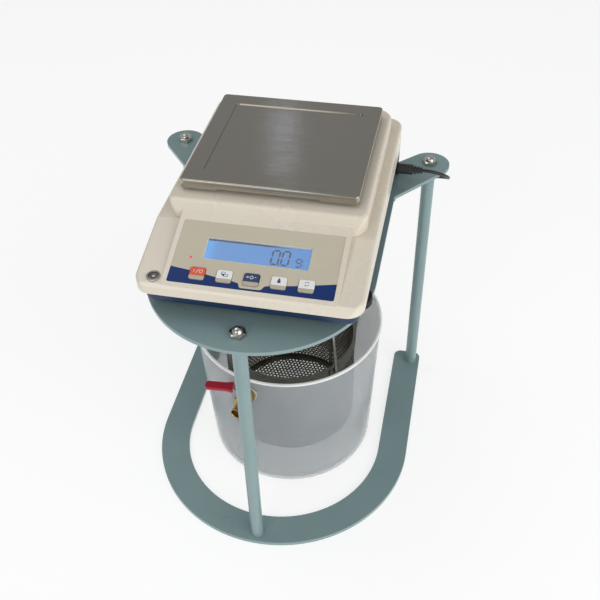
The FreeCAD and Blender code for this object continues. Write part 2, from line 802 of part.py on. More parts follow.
def dc_plug():
    """The lead's plug: a metal barrel, a moulded grip and a ribbed strain relief."""
    x0 = jack_face + seat_gap
    x1 = x0 + plug_length
    x2 = x1 + relief_length
    grip = round_bar(x0, x1, jack_y, jack_axis_z, plug_diameter)
    grip = grip.makeFillet(1.2, [edge for edge in grip.Edges if edge.BoundBox.XMax < x0 + 0.01])
    barrel = round_bar(x0 - 9, x0 + 0.5, jack_y, jack_axis_z, jack_bore - 0.2)
    relief = round_bar(x1 - 0.5, x2, jack_y, jack_axis_z, relief_start - 2, relief_end - 2)
    pieces = [grip, barrel, relief]
    pitch = relief_length / relief_ribs
    for k in range(relief_ribs):
        start = x1 + pitch * (k + 0.4)
        size = relief_start - (relief_start - relief_end) * k / (relief_ribs - 1)
        pieces.append(round_bar(start, start + pitch * 0.6, jack_y, jack_axis_z, size))
    return joined(pieces)


# ---- weighing mechanism -----------------------------------------------------------------------------
cell_x0, cell_x1 = balance_x - cell_width / 2, balance_x + cell_width / 2
cell_fixings = [(balance_x + dx, cell_y1 - cell_end / 2) for dx in (-6.0, 6.0)]
bracket_fixings = [(balance_x + dx, bucket_y - 4) for dx in (-7.5, 7.5)]
support_z = bench + deck_height + cell_gap
pad_height = bench + pan_height - pan_sheet - pan_dish - support_z - support_thickness
pad_spots = [(balance_x + sx * (support_arm - 8), pan_y + sy * (support_arm - 8))
             for sx in (-1, 1) for sy in (-1, 1)]


def load_cell():
    """An aluminium beam, cut through by two round-ended slots that leave four thin flexures."""
    beam = box(cell_x0, cell_x1, cell_y0, cell_y1, cell_z0, cell_z1)
    middle_z = (cell_z0 + cell_z1) / 2
    bore = 12.0
    y0, y1 = cell_y0 + cell_end + 10, cell_y1 - cell_end - 10
    for y in (y0, y1):
        beam = beam.cut(Part.makeCylinder(bore / 2, cell_width + 2, V(cell_x0 - 1, y, middle_z), V(1, 0, 0)))
    beam = beam.cut(box(cell_x0 - 1, cell_x1 + 1, y0, y1, middle_z - 3, middle_z + 3))
    hole = cell_screw_diameter + 2 * fit_gap
    for x, y in cell_fixings:
        beam = beam.cut(cylinder(x, y, cell_z0 - 1, cell_z0 + cell_screw_grip + 1, hole))
    for x, y in bracket_fixings:
        beam = beam.cut(cylinder(x, y, cell_z1 - cell_screw_grip, cell_z1 + 1, hole))
    return beam.cut(cylinder(hook_place.x, hook_place.y, cell_z0 - 1, cell_z0 + hook_thread + 1, 5.0 + 2 * fit_gap))


def load_cell_block():
    block = box(cell_x0, cell_x1, cell_y1 - cell_end, cell_y1, case_floor + case_wall, cell_z0)
    for x, y in cell_fixings:
        block = block.cut(cylinder(x, y, case_floor, cell_z0 + 1, cell_screw_diameter + 2 * fit_gap))
    return block


def cell_screws():
    """Two up through the case and the block into the beam, and two down through the bracket."""
    h = cell_screw_head_height
    screws = []
    for x, y in cell_fixings:
        socket = hexagon(x, y, case_floor - h - 1, case_floor - 0.4 * h, cell_screw_socket)
        head = cylinder(x, y, case_floor - h, case_floor, cell_screw_head).cut(socket)
        shank = cylinder(x, y, case_floor - 0.5, cell_z0 + cell_screw_grip, cell_screw_diameter)
        screws.append(joined([head, shank]))
    top = cell_z1 + bracket_thickness
    for x, y in bracket_fixings:
        socket = hexagon(x, y, top + 0.4 * h, top + h + 1, cell_screw_socket)
        head = cylinder(x, y, top, top + h, cell_screw_head).cut(socket)
        shank = cylinder(x, y, cell_z1 - cell_screw_grip + 2, top + 0.5, cell_screw_diameter)
        screws.append(joined([head, shank]))
    return Part.makeCompound(screws)


def pan_bracket():
    """A plate on the beam's free end that reaches back to the pan's middle, with the column that carries the pan."""
    z0, z1 = cell_z1, cell_z1 + bracket_thickness
    plate = rounded_box(cell_x0 - 1, cell_x1 + 1, cell_y0, pan_y + column_diameter, z0, z1, 4)
    relief = box(cell_x0 - 2, cell_x1 + 2, cell_y0 + cell_end, pan_y + column_diameter + 1, z0 - 1, z0 + 1)
    plate = plate.cut(relief)
    for x, y in bracket_fixings:
        plate = plate.cut(cylinder(x, y, z0 - 1, z1 + 1, cell_screw_diameter + 2 * fit_gap))
    column = cylinder(balance_x, pan_y, z1 - 0.5, support_z, column_diameter)
    return joined([plate, column])


def pan_support():
    """A star of four arms on the column, one under each pad."""
    z0, z1 = support_z, support_z + support_thickness
    hub = cylinder(balance_x, pan_y, z0, z1, 40.0)
    pieces = [hub]
    length = 2 * (support_arm - 8) * math.sqrt(2)
    for angle in (45, 135):
        arm = box(-length / 2, length / 2, -7, 7, 0, support_thickness)
        pieces.append(turn_and_move(arm, V(0, 0, 1), angle, V(balance_x, pan_y, z0)))
    for x, y in pad_spots:
        pieces.append(cylinder(x, y, z0, z1, pad_diameter + 4))
    return joined(pieces)


def pan_pads():
    z = support_z + support_thickness
    return Part.makeCompound([cylinder(x, y, z, z + pad_height, pad_diameter) for x, y in pad_spots])


def weighing_pan():
    """A pressed tray turned upside down: a flat top with a shallow square dish and a skirt all round."""
    top = bench + pan_height
    x0, x1 = balance_x - pan_width / 2, balance_x + pan_width / 2
    y0, y1 = pan_front, pan_front + pan_length
    low = top - pan_skirt
    outer = rounded_box(x0, x1, y0, y1, low, top, pan_corner)
    rim = [edge for edge in outer.Edges if edge.BoundBox.ZMin > top - 0.01]
    outer = outer.makeFillet(1.6, rim)
    t = pan_sheet
    outer = outer.cut(rounded_box(x0 + t, x1 - t, y0 + t, y1 - t, low - 1, top - t, pan_corner - t))
    b = pan_border
    slope = 2.0
    dish_top = rounded_box(x0 + b, x1 - b, y0 + b, y1 - b, top - pan_dish, top + 1, 3.0)
    dish_low = rounded_box(x0 + b - slope, x1 - b + slope, y0 + b - slope, y1 - b + slope,
                           top - t - pan_dish, top - t + 0.2, 3.0)
    half = pan_notch / 2
    notch = box(balance_x - half, balance_x + half, y0 - 1, y0 + t + 1, low - 1, low + 1.6)
    return outer.fuse(dish_low).cut(dish_top).cut(notch).removeSplitter()


hook_seat = V(hook_place.x, hook_place.y, plate_under - hook_drop)  # top of the wire where the bail's ring rests


def under_hook():
    """A stud in the beam's free end, a rod down through case and plate, and a hook in the plane across the bail."""
    across = V(math.cos(math.radians(bail_angle + 90)), math.sin(math.radians(bail_angle + 90)), 0)
    r = hook_radius
    centre = hook_seat + V(0, 0, r - hook_wire / 2)
    top = V(hook_place.x, hook_place.y, cell_z0 + hook_thread)
    knee = V(centre.x, centre.y, centre.z + r + 9)
    points = [top, knee, centre + across * (r + 3) + V(0, 0, r + 2), centre + across * (r + 3) - V(0, 0, r),
              centre - across * (r + 1) - V(0, 0, r), centre - across * (r + 1) + V(0, 0, 4)]
    wire, _ = rod(points, [5, 5, r - 1, r - 1], hook_wire)
    collar = cylinder(hook_place.x, hook_place.y, cell_z0 - 3, cell_z0, 9.0)
    return joined([wire, collar])


# ---- bucket ---------------------------------------------------------------------------------------
valve_height = bucket_height - valve_drop


def bucket_radius(z):
    return bucket_foot_radius + (bucket_rim_radius - bucket_foot_radius) * z / bucket_height


def valve_frame(shape):
    """Moves a piece from the valve's axes, x out of the bucket's wall and z up, to its place."""
    a = math.radians(valve_angle)
    r = bucket_radius(valve_height)
    return turn_and_move(shape, V(0, 0, 1), valve_angle,
                         V(bucket_x + r * math.cos(a), bucket_y + r * math.sin(a), valve_height))


def bar(x0, x1, d0, d1=None):
    return round_bar(x0, x1, 0, 0, d0, d1)


def bucket():
    t = bucket_wall
    h = bucket_height
    edge = 6.0
    profile = [
        (0, 1.5), (bucket_foot_radius - 8, 1.5), (bucket_foot_radius - 9.5, 0), (bucket_foot_radius - edge, 0),
        (bucket_foot_radius - edge * 0.3, edge * 0.3), (bucket_radius(edge), edge),
        (bucket_radius(h - bucket_rim_depth), h - bucket_rim_depth),
        (bucket_rim_radius + bucket_rim, h - bucket_rim_depth + 0.8), (bucket_rim_radius + bucket_rim, h - 0.8),
        (bucket_rim_radius + bucket_rim - 0.8, h), (bucket_rim_radius - t + 0.4, h), (bucket_rim_radius - t, h - 0.6),
        (bucket_radius(bucket_floor + 5) - t, bucket_floor + 5),
        (bucket_foot_radius - t - 4.5, bucket_floor + 0.6), (bucket_foot_radius - t - 7, bucket_floor),
        (0, bucket_floor),
    ]
    pail = turned(profile, bucket_x, bucket_y)
    return pail.cut(valve_frame(bar(-12, 10, shank_diameter + 2 * fit_gap)))


seat_flat = 2.4  # the gaskets bridge between the curved wall and the flat nuts
neck_top = body_diameter / 2 + 3.5


def bucket_cone(inset):
    """The bucket's solid outer form at the valve, drawn in by an inset."""
    low, high = valve_height - gasket_diameter, bucket_height
    return turned([(0, low), (bucket_radius(low) - inset, low), (bucket_radius(high) - inset, high), (0, high)],
                  bucket_x, bucket_y)


def valve_gaskets():
    """Two rubber washers, one each side of the wall, shaped to its curve."""
    hole = bar(-20, 20, shank_diameter + 2 * fit_gap)
    outside = valve_frame(bar(-2, gasket_thickness, gasket_diameter).cut(hole)).cut(bucket_cone(0))
    ring = bar(-bucket_wall - seat_flat, 0, gasket_diameter).cut(hole)
    inside = valve_frame(ring).common(bucket_cone(bucket_wall))
    return Part.makeCompound([outside, inside])


inner_nut_x = -bucket_wall - seat_flat
body_x0 = gasket_thickness + flange_thickness
body_x1 = body_x0 + body_length
ball_x = (body_x0 + body_x1) / 2
outlet_x = body_x1 + outlet_length


def across_flow(x, length, flats):
    """A hexagonal prism along the valve's flow."""
    return turn_and_move(hexagon(0, 0, 0, length, flats), V(0, 1, 0), 90, V(x, 0, 0))


def valve_wall_nut():
    nut = across_flow(inner_nut_x - nut_thickness, nut_thickness, valve_nut_flats)
    return valve_frame(nut.cut(bar(-30, 10, shank_diameter + 2 * fit_gap)))


def valve_body():
    """A shank through the wall, a flange, a round barrel with the stem's neck, and a hexagonal collar."""
    shank = bar(inner_nut_x - nut_thickness - 1.5, gasket_thickness + 0.5, shank_diameter)
    flange = bar(gasket_thickness, body_x0, flange_diameter)
    barrel = bar(body_x0 - 0.5, body_x1, body_diameter)
    collar = across_flow(body_x1 - collar_length, collar_length, collar_flats)
    neck = Part.makeCylinder(stem_diameter / 2 + 2.2, neck_top - body_diameter / 2 + 2,
                             V(ball_x, 0, body_diameter / 2 - 2), V(0, 0, 1))
    flow = bar(inner_nut_x - nut_thickness - 3, body_x1 + 1, valve_bore)
    seat = sphere(V(ball_x, 0, 0), ball_diameter + 2 * seat_gap)
    stem_hole = Part.makeCylinder(stem_diameter / 2 + fit_gap, 30, V(ball_x, 0, 0), V(0, 0, 1))
    tap = bar(body_x1 - outlet_spigot, body_x1 + 1, spigot_diameter + 2 * fit_gap)
    return valve_frame(joined([shank, flange, barrel, collar, neck]).cut(flow).cut(seat).cut(stem_hole).cut(tap))


def valve_outlet():
    """A short tube on a spigot in the body's end."""
    x0, x1, x2 = body_x1 - outlet_spigot, body_x1, outlet_x
    outer, inner, bore = outlet_diameter / 2, outlet_diameter / 2 - outlet_wall, valve_bore / 2
    spigot = spigot_diameter / 2
    profile = [(spigot, x0), (spigot, x1), (outer - 0.4, x1), (outer - 0.2, x1 + 0.4), (outer - 0.2, x2 - 2.5),
               (outer, x2 - 0.6), (outer - 0.3, x2), (inner + 0.3, x2), (inner, x2 - 0.6), (inner, x1 + 4),
               (bore, x1 + 1), (bore, x0)]
    return valve_frame(turn_and_move(turned(profile), V(0, 1, 0), 90, V(0, 0, 0)))


def lever_turned(shape):
    """Turns a piece drawn along the flow to where the lever stands, about the stem."""
    return turn_and_move(shape, V(0, 0, 1), lever_angle - valve_angle, V(ball_x, 0, 0))


stem_top = neck_top + seat_gap


def valve_ball():
    ball = sphere(V(0, 0, 0), ball_diameter).cut(bar(-20, 20, valve_bore))
    slot = box(-1.2, 1.2, -20, 20, ball_diameter / 2 - 1.5, 20)
    return valve_frame(lever_turned(ball.cut(slot)))


def valve_stem():
    """The stem, with a tongue in the ball's slot below and the nut over the lever above."""
    stem = Part.makeCylinder(stem_diameter / 2, stem_top - ball_diameter / 2, V(0, 0, ball_diameter / 2))
    tongue = box(-1.1, 1.1, -1.8, 1.8, ball_diameter / 2 - 1.4, ball_diameter / 2 + 1)
    thread = Part.makeCylinder(1.5, 4.5, V(0, 0, stem_top - 0.5))
    nut = hexagon(0, 0, stem_top + lever_thickness, stem_top + lever_thickness + 2.2, 6.0)
    return valve_frame(lever_turned(joined([stem, tongue, thread, nut])))


def valve_lever():
    """A pressed strip: an eye over the stem, a rise and a flat grip."""
    z0, z1 = stem_top, stem_top + lever_thickness
    w = lever_width / 2
    foot, head = 5.0, sleeve_start - 1.0
    eye = cylinder(0, 0, z0, z1, lever_width + 2)
    near = box(0, foot, -w, w, z0, z1)
    profile = [(foot - 0.4, z0), (foot, z0), (head, z0 + lever_rise), (head, z1 + lever_rise),
               (head - 0.4, z1 + lever_rise), (foot - 0.4, z1)]
    points = [V(x, -w, z) for x, z in profile]
    step = Part.Face(Part.makePolygon(points + points[:1])).extrude(V(0, 2 * w, 0))
    grip = box(head - 0.2, lever_length - 2, -w, w, z0 + lever_rise, z1 + lever_rise)
    strip = joined([eye, near, step, grip]).cut(cylinder(0, 0, z0 - 1, z1 + 1, 3.0 + 2 * fit_gap))
    return valve_frame(lever_turned(strip))


def lever_sleeve():
    """A dipped vinyl sleeve over the grip, wider at the stem's end."""
    z0, z1 = stem_top + lever_rise, stem_top + lever_thickness + lever_rise
    w, s = lever_width / 2, sleeve_skin
    x0, x1 = sleeve_start, lever_length
    side = [(x0, sleeve_flare - 0.8), (x0 + 1, sleeve_flare), (x0 + 2.5, sleeve_flare), (x0 + 7, w + s),
            (x1 - 3, w + s), (x1 - 0.8, w), (x1, w - 1.8)]
    outline = [V(x, y, z0 - s) for x, y in side] + [V(x, -y, z0 - s) for x, y in reversed(side)]
    sleeve = Part.Face(Part.makePolygon(outline + outline[:1])).extrude(V(0, 0, z1 - z0 + 2 * s))
    flat_edges = [edge for edge in sleeve.Edges if edge.BoundBox.ZLength < 0.01]
    sleeve = sleeve.makeFillet(0.9, flat_edges)
    return valve_frame(lever_turned(sleeve.cut(box(x0 - 1, x1 - 2, -w, w, z0, z1))))


# ---- basket ---------------------------------------------------------------------------------------
basket_x, basket_y = hook_place.x, hook_place.y
basket_top = basket_bottom_z + basket_height
pin_z = basket_top - bail_pin_drop


def bail_frame(shape):
    """Moves a piece from the bail's axes, x along the pins, to its place."""
    return turn_and_move(shape, V(0, 0, 1), bail_angle, V(basket_x, basket_y, 0))


def pin_hole():
    return bail_frame(round_bar(-basket_radius - 20, basket_radius + 20, 0, pin_z, bail_wire + 0.15))


def basket_wall():
    r, t = basket_radius, basket_sheet
    wall = cylinder(basket_x, basket_y, basket_bottom_z, basket_top, 2 * r)
    return wall.cut(cylinder(basket_x, basket_y, basket_bottom_z - 1, basket_top + 1, 2 * (r - t))).cut(pin_hole())


def basket_bottom():
    """The disc in the wall's lower end, with a turned-up rim to weld it by."""
    r = basket_radius - basket_sheet - fit_gap
    z = basket_bottom_z + 1
    return turned([(0, z), (r, z), (r, z + 5), (r - 1, z + 5), (r - 1, z + 1), (0, z + 1)], basket_x, basket_y)


def basket_rim():
    """The plain band round the mouth, rolled over the perforated wall's edge."""
    r, t = basket_radius, basket_sheet
    low = basket_top - basket_rim_height
    band = turned([(r + fit_gap, low), (r + t, low), (r + t, basket_top + t), (r - 2 * t, basket_top + t),
                   (r - 2 * t, basket_top - 3), (r - t - fit_gap, basket_top - 3),
                   (r - t - fit_gap, basket_top + fit_gap), (r + fit_gap, basket_top + fit_gap)], basket_x, basket_y)
    return band.cut(pin_hole())


def bail_ears():
    """A small plate on the band at each end of the bail."""
    r = basket_radius + basket_sheet + fit_gap
    ears = []
    for side in (-1, 1):
        plate = rounded_plate(ear_size, ear_size, ear_sheet)
        plate = turn_and_move(plate, V(0, 1, 0), 90, V(r - 0.35, 0, pin_z))
        drum = Part.makeCylinder(r, 2 * ear_size, V(0, 0, pin_z - ear_size))
        if side < 0:
            plate.rotate(V(0, 0, 0), V(0, 0, 1), 180)
        ears.append(bail_frame(plate.cut(drum)).cut(pin_hole()))
    return Part.makeCompound(ears)


def rounded_plate(width, height, thickness):
    return rounded_box(-height / 2, height / 2, -width / 2, width / 2, 0, thickness, 3.0)


ring_centre_z = hook_seat.z + seat_gap - bail_ring_bore / 2


def basket_bail():
    """One bent wire: pins turned in through the ears, two legs, and a ring on top for the hook."""
    outside = basket_radius + basket_sheet + ear_sheet + seat_gap + bail_wire / 2 + 0.6
    inside = basket_radius - 4.0
    shoulder_z = ring_centre_z - 26.0
    top_z = ring_centre_z - bail_ring_bore / 2 - bail_wire / 2
    leg_top = outside - bail_lean
    half = [V(inside, 0, pin_z), V(outside, 0, pin_z), V(leg_top, 0, shoulder_z), V(leg_top * 0.45, 0, top_z)]
    other = [V(-p.x, 0, p.z) for p in reversed(half)]
    radii = [2.6, 18.0, 40.0, 40.0, 18.0, 2.6]
    wire, _ = rod(half + other, radii, bail_wire)
    ring = Part.makeTorus(bail_ring_bore / 2 + bail_wire / 2, bail_wire / 2, V(0, 0, ring_centre_z), V(0, 1, 0))
    return bail_frame(joined([wire, ring]))


# ---- power lead -----------------------------------------------------------------------------------
def cord_radii(points):
    """The largest tangent arc that two neighbouring runs allow at each turn."""
    radii = []
    for before, corner, after in zip(points, points[1:], points[2:]):
        run_in, run_out = corner - before, after - corner
        half = run_in.getAngle(run_out) / 2
        radii.append(0.45 * min(run_in.Length, run_out.Length) / math.tan(half))
    return radii


def cord_tube(name, points):
    """A stretch of the lead; its radii, length and volume are printed to compare."""
    radii = cord_radii(points)
    tube, length = rod(points, radii, cord_diameter)
    section = math.pi * cord_diameter ** 2 / 4
    print(name, "radii", [round(r) for r in radii])
    print(name, "length %.0f mm, volume over section times length %.4f" % (length, tube.Volume / section / length))
    return tube


def power_cord():
    start = V(jack_face + seat_gap + plug_length + relief_length, jack_y, jack_axis_z)
    return cord_tube("power_cord", [start] + [V(*point) for point in cord_route])


def cord_tail():
    return cord_tube("cord_tail", [V(*point) for point in tail_route])


coil_half = coil_columns * cord_diameter / 2
coil_height = cord_diameter * (1 + (coil_layers - 1) * layer_rise)


def cord_coil():
    """The put-away length, a ring of turns lying on the bench."""
    r, w, h = coil_radius, coil_half, coil_height
    c = cord_diameter / 3
    return turned([(r - w + c, 0), (r + w - c, 0), (r + w, c), (r + w, h - c), (r + w - c, h), (r - w + c, h),
                   (r - w, h - c), (r - w, c)], coil_x, coil_y)


def coil_tie():
    """A flat strap over the ring's bundle."""
    room = coil_half + tie_room
    middle = coil_y - coil_radius
    half, top = tie_width / 2, coil_height + tie_room
    outer = box(coil_x - half, coil_x + half, middle - room - tie_skin, middle + room + tie_skin, 0, top + tie_skin)
    return outer.cut(box(coil_x - half - 1, coil_x + half + 1, middle - room, middle + room, -1, top))


def wall_adapter():
    """The plug-in supply: a moulded block with rounded edges, lying on its back, with the lead's relief."""
    x0, x1 = adapter_x - adapter_length / 2, adapter_x + adapter_length / 2
    y0, y1 = adapter_y - adapter_width / 2, adapter_y + adapter_width / 2
    block = rounded_box(x0, x1, y0, y1, 0, adapter_height, 6)
    block = block.makeFillet(2.5, [edge for edge in block.Edges if edge.BoundBox.ZMin > adapter_height - 0.01])
    inlet = V(*tail_route[-1])
    relief = round_bar(x1 - 1, inlet.x, inlet.y, inlet.z, plug_diameter - 2, cord_diameter + 1.5)
    return joined([block, relief])


def adapter_pins():
    top = adapter_height + pin_length - pin_diameter / 2
    pins = []
    for side in (-1, 1):
        y = adapter_y + side * pin_spacing / 2
        pins.append(joined([cylinder(adapter_x - 12, y, adapter_height, top, pin_diameter),
                            sphere(V(adapter_x - 12, y, top), pin_diameter)]))
    return Part.makeCompound(pins)


# ---- the parts --------------------------------------------------------------------------------------
def everything():
    parts = {"base_plate": base_plate(), "top_plate": top_plate()}
    for name, (x, y) in post_places.items():
        parts["post_" + name] = post(x, y)
        parts["dome_nut_" + name] = dome_nut(x, y)
    parts["base_screws"] = Part.makeCompound([base_screw(x, y) for x, y in post_places.values()])
    for k, name in enumerate(key_names):
        parts["key_" + name] = key(k)
    for name, (x, y) in foot_places.items():
        parts["foot_" + name] = foot(x, y)
    for make in (lower_case, upper_housing, case_screws, panel_overlay, lcd_window, lcd_module, display_board,
                 key_switches, power_led, bubble_level_cup, bubble_level_vial, main_board, dc_jack,
                 load_cell, load_cell_block, cell_screws, pan_bracket, pan_support, pan_pads, weighing_pan, under_hook,
                 bucket, valve_body, valve_wall_nut, valve_gaskets, valve_outlet, valve_ball, valve_stem, valve_lever,
                 lever_sleeve, basket_wall, basket_bottom, basket_rim, bail_ears, basket_bail, dc_plug, power_cord,
                 cord_coil, cord_tail, coil_tie, wall_adapter, adapter_pins):
        parts[make.__name__] = make()
    return parts


outline_front = -post_reach - plate_front_margin
outline_back = rear_post_y + ear_radius
to_middle = V(0, -(outline_front + outline_back) / 2, 0)

os.makedirs("parts", exist_ok=True)
for part_name, part_shape in everything().items():
    part_shape.translated(to_middle).exportStep("parts/" + part_name + ".step")
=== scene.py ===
"""A benchtop density meter: a balance on a three-post stand weighs a basket hung in an overflow bucket.

Metres. X is right, Y is back and Z is up; the origin is on the bench, in the middle of the stand's outline.
"""

import math

import bpy
from mathutils import Matrix, Vector


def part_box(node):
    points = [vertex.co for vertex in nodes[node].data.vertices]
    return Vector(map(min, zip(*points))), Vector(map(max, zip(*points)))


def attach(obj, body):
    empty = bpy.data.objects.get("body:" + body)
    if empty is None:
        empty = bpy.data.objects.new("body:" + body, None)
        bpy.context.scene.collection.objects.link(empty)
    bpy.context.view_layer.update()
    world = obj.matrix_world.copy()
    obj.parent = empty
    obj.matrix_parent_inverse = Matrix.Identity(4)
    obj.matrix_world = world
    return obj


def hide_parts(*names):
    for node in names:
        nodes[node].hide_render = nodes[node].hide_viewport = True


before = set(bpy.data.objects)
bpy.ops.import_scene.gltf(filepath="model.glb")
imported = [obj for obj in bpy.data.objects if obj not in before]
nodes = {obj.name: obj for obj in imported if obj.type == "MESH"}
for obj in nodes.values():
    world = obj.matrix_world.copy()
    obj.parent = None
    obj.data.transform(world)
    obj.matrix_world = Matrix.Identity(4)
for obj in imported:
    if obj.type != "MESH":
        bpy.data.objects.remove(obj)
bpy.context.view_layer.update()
bpy.ops.object.select_all(action="DESELECT")
scene = bpy.context.scene
scene.view_settings.view_transform = "Standard"

# ---- camera -------------------------------------------------------------------------------------
# It stands a little over a metre off, in front of the keypad and well above it.
camera_place = (0.169556, -0.649258, 0.843007)
to_right = Vector((0.97922405, 0.2017542, -0.02038392))
downward = Vector((0.12207709, -0.66678529, -0.73518335))
forward = Vector((-0.16191803, 0.71742081, -0.67756176))
camera_data = bpy.data.cameras.new("camera")
camera_data.sensor_width = 36.0
camera_data.lens = 50.6555
camera_data.clip_start = 0.02
camera = bpy.data.objects.new("camera", camera_data)
scene.collection.objects.link(camera)
facing = Matrix((to_right, -downward, -forward)).transposed().to_4x4()
camera.matrix_world = Matrix.Translation(camera_place) @ facing
scene.camera = camera


# ---- power lead ---------------------------------------------------------------------------------
# A thin two-core lead in black soft PVC. It leaves the plug's ribs at the balance's right side, bends down
# past the plate's ear and hangs behind the post; what is left of it lies behind the bucket in a tied coil,
# by its adapter.
def srgb(code):
    """A linear colour from a hex value as it shows on a screen."""
    channels = [int(code[k:k + 2], 16) / 255 for k in (1, 3, 5)]
    return [c / 12.92 if c <= 0.04045 else ((c + 0.055) / 1.055) ** 2.4 for c in channels] + [1.0]


def put(mat, kind, inputs=None, **settings):
    """Adds a shader node, its settings, and for each socket a value or another node's output."""
    made = mat.node_tree.nodes.new(kind)
    for name, value in settings.items():
        setattr(made, name, value)
    for name, value in (inputs or {}).items():
        socket = made.inputs[name]
        if isinstance(value, bpy.types.NodeSocket):
            mat.node_tree.links.new(value, socket)
        else:
            socket.default_value = value
    return made


def material(name):
    """An empty material."""
    mat = bpy.data.materials.new(name)
    mat.use_nodes = True
    mat.node_tree.nodes.clear()
    return mat


pvc = material("soft_pvc_lead")
# Soft PVC as it comes from the die: half matt, with a faint uneven skin and a dusting of handling.
place = put(pvc, "ShaderNodeTexCoord").outputs["Object"]
dust = put(pvc, "ShaderNodeTexNoise", {"Vector": place, "Scale": 260.0, "Detail": 3.0}).outputs["Fac"]
shade = put(pvc, "ShaderNodeMix", {"Factor": dust, "A": srgb("#101011"), "B": srgb("#222224")},
            data_type="RGBA")
skin = put(pvc, "ShaderNodeTexNoise", {"Vector": place, "Scale": 1400.0}).outputs["Fac"]
bump = put(pvc, "ShaderNodeBump", {"Height": skin, "Strength": 0.25, "Distance": 0.0002}).outputs["Normal"]
gloss = put(pvc, "ShaderNodeMapRange", {"Value": dust, "To Min": 0.34, "To Max": 0.52}).outputs["Result"]
shader = put(pvc, "ShaderNodeBsdfPrincipled",
             {"Base Color": shade.outputs["Result"], "Roughness": gloss, "Normal": bump})
put(pvc, "ShaderNodeOutputMaterial", {"Surface": shader.outputs["BSDF"]})

lead_diameter = 0.0035
relief_tip = (0.135, 0.11025, 0.335)
hanging_run = [
    (0.1438, 0.11025, 0.3350), (0.1530, 0.11275, 0.3312), (0.1594, 0.11945, 0.3250),
    (0.1628, 0.12925, 0.3165), (0.1628, 0.14025, 0.3086), (0.1583, 0.15155, 0.3013),
    (0.1490, 0.16105, 0.2948), (0.1350, 0.16775, 0.2875), (0.1185, 0.17175, 0.2755),
    (0.1045, 0.17325, 0.2560), (0.0940, 0.17525, 0.2270), (0.0845, 0.17775, 0.1885),
    (0.0760, 0.17875, 0.1440), (0.0695, 0.17725, 0.1000), (0.0650, 0.17375, 0.0620),
    (0.0622, 0.17025, 0.0375), (0.0612, 0.16885, 0.0245), (0.0603, 0.17125, 0.0132),
    (0.0600, 0.17885, 0.0054), (0.0578, 0.18805, 0.0024), (0.0528, 0.19565, 0.0019),
]
run_to_adapter = [
    (0.0335, 0.20705, 0.0046), (0.0200, 0.20845, 0.0026), (0.0070, 0.20685, 0.0032),
    (-0.0050, 0.20405, 0.0064), (-0.0160, 0.20285, 0.0102),
]
coil_middle = Vector((0.030, 0.17925, 0.0))
# Four turns inwards on the bench, then four outwards on top of them. Each turn's last fifth leads over to the
# next one.
turn_radii = [0.02525, 0.02175, 0.01825, 0.01475, 0.01475, 0.01825, 0.02175, 0.02525]
last_lower_turn = 3
lead_over = 0.2
points_in_turn = 18
point_spread = 1.0195  # a curve runs inside its points, so these stand a little further out
coil_from = math.radians(52)
coil_to = math.radians(72) + 2 * math.pi * len(turn_radii)
coil_run = []
step = 2 * math.pi / points_in_turn
angle = coil_from
while angle < coil_to:
    turns = (angle - coil_from) / (2 * math.pi)
    k = min(int(turns), len(turn_radii) - 1)
    after = min(k + 1, len(turn_radii) - 1)
    blend = min(max((turns - k - (1 - lead_over)) / lead_over, 0.0), 1.0)
    radius = point_spread * (turn_radii[k] + (turn_radii[after] - turn_radii[k]) * blend)
    layer = 0.5 + (1.0 if k > last_lower_turn else blend if k == last_lower_turn else 0.0)
    offset = Vector((radius * math.cos(angle), radius * math.sin(angle), layer * lead_diameter))
    coil_run.append(coil_middle + offset)
    angle += step
lead_points = [Vector(relief_tip)] + [Vector(p) for p in hanging_run]
lead_points += coil_run + [Vector(p) for p in run_to_adapter]

lead_curve = bpy.data.curves.new("power_lead", "CURVE")
lead_curve.dimensions = "3D"
lead_curve.bevel_depth = lead_diameter / 2
lead_curve.bevel_resolution = 4
lead_curve.resolution_u = 5
lead_curve.use_fill_caps = True
line = lead_curve.splines.new("NURBS")
line.points.add(len(lead_points) - 1)
for point, where in zip(line.points, lead_points):
    point.co = (where.x, where.y, where.z, 1.0)
line.order_u = 3
line.use_endpoint_u = True
line.use_smooth = True
lead = bpy.data.objects.new("power_lead", lead_curve)
scene.collection.objects.link(lead)
lead_curve.materials.append(pvc)
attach(lead, "stand")
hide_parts("power_cord", "cord_coil", "cord_tail")


def coat(names, mat):
    """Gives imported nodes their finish."""
    for name in names:
        nodes[name].data.materials.clear()
        nodes[name].data.materials.append(mat)


coat(["coil_tie"], pvc)


# ---- plug and adapter ---------------------------------------------------------------------------
# The lead's plug is moulded on in firmer black PVC; the adapter is a spark-eroded ABS case with nickelled
# brass pins.
def moulded_abs(name, grain_scale, grain_strength, haze_scale, haze_detail, colours, roughness):
    """Injection-moulded ABS: an eroded tool's even grain over a colour and a gloss that drift a little."""
    mat = material(name)
    place = put(mat, "ShaderNodeTexCoord").outputs["Object"]
    grain = put(mat, "ShaderNodeTexVoronoi", {"Vector": place, "Scale": grain_scale}).outputs["Distance"]
    haze = put(mat, "ShaderNodeTexNoise",
               {"Vector": place, "Scale": haze_scale, "Detail": haze_detail}).outputs["Fac"]
    shade = put(mat, "ShaderNodeMix", {"Factor": haze, "A": srgb(colours[0]), "B": srgb(colours[1])},
                data_type="RGBA")
    bump = put(mat, "ShaderNodeBump",
               {"Height": grain, "Strength": grain_strength, "Distance": 0.0001}).outputs["Normal"]
    gloss = put(mat, "ShaderNodeMapRange",
                {"Value": haze, "To Min": roughness[0], "To Max": roughness[1]}).outputs["Result"]
    shader = put(mat, "ShaderNodeBsdfPrincipled",
                 {"Base Color": shade.outputs["Result"], "Roughness": gloss, "Normal": bump, "IOR": 1.54})
    put(mat, "ShaderNodeOutputMaterial", {"Surface": shader.outputs["BSDF"]})
    return mat


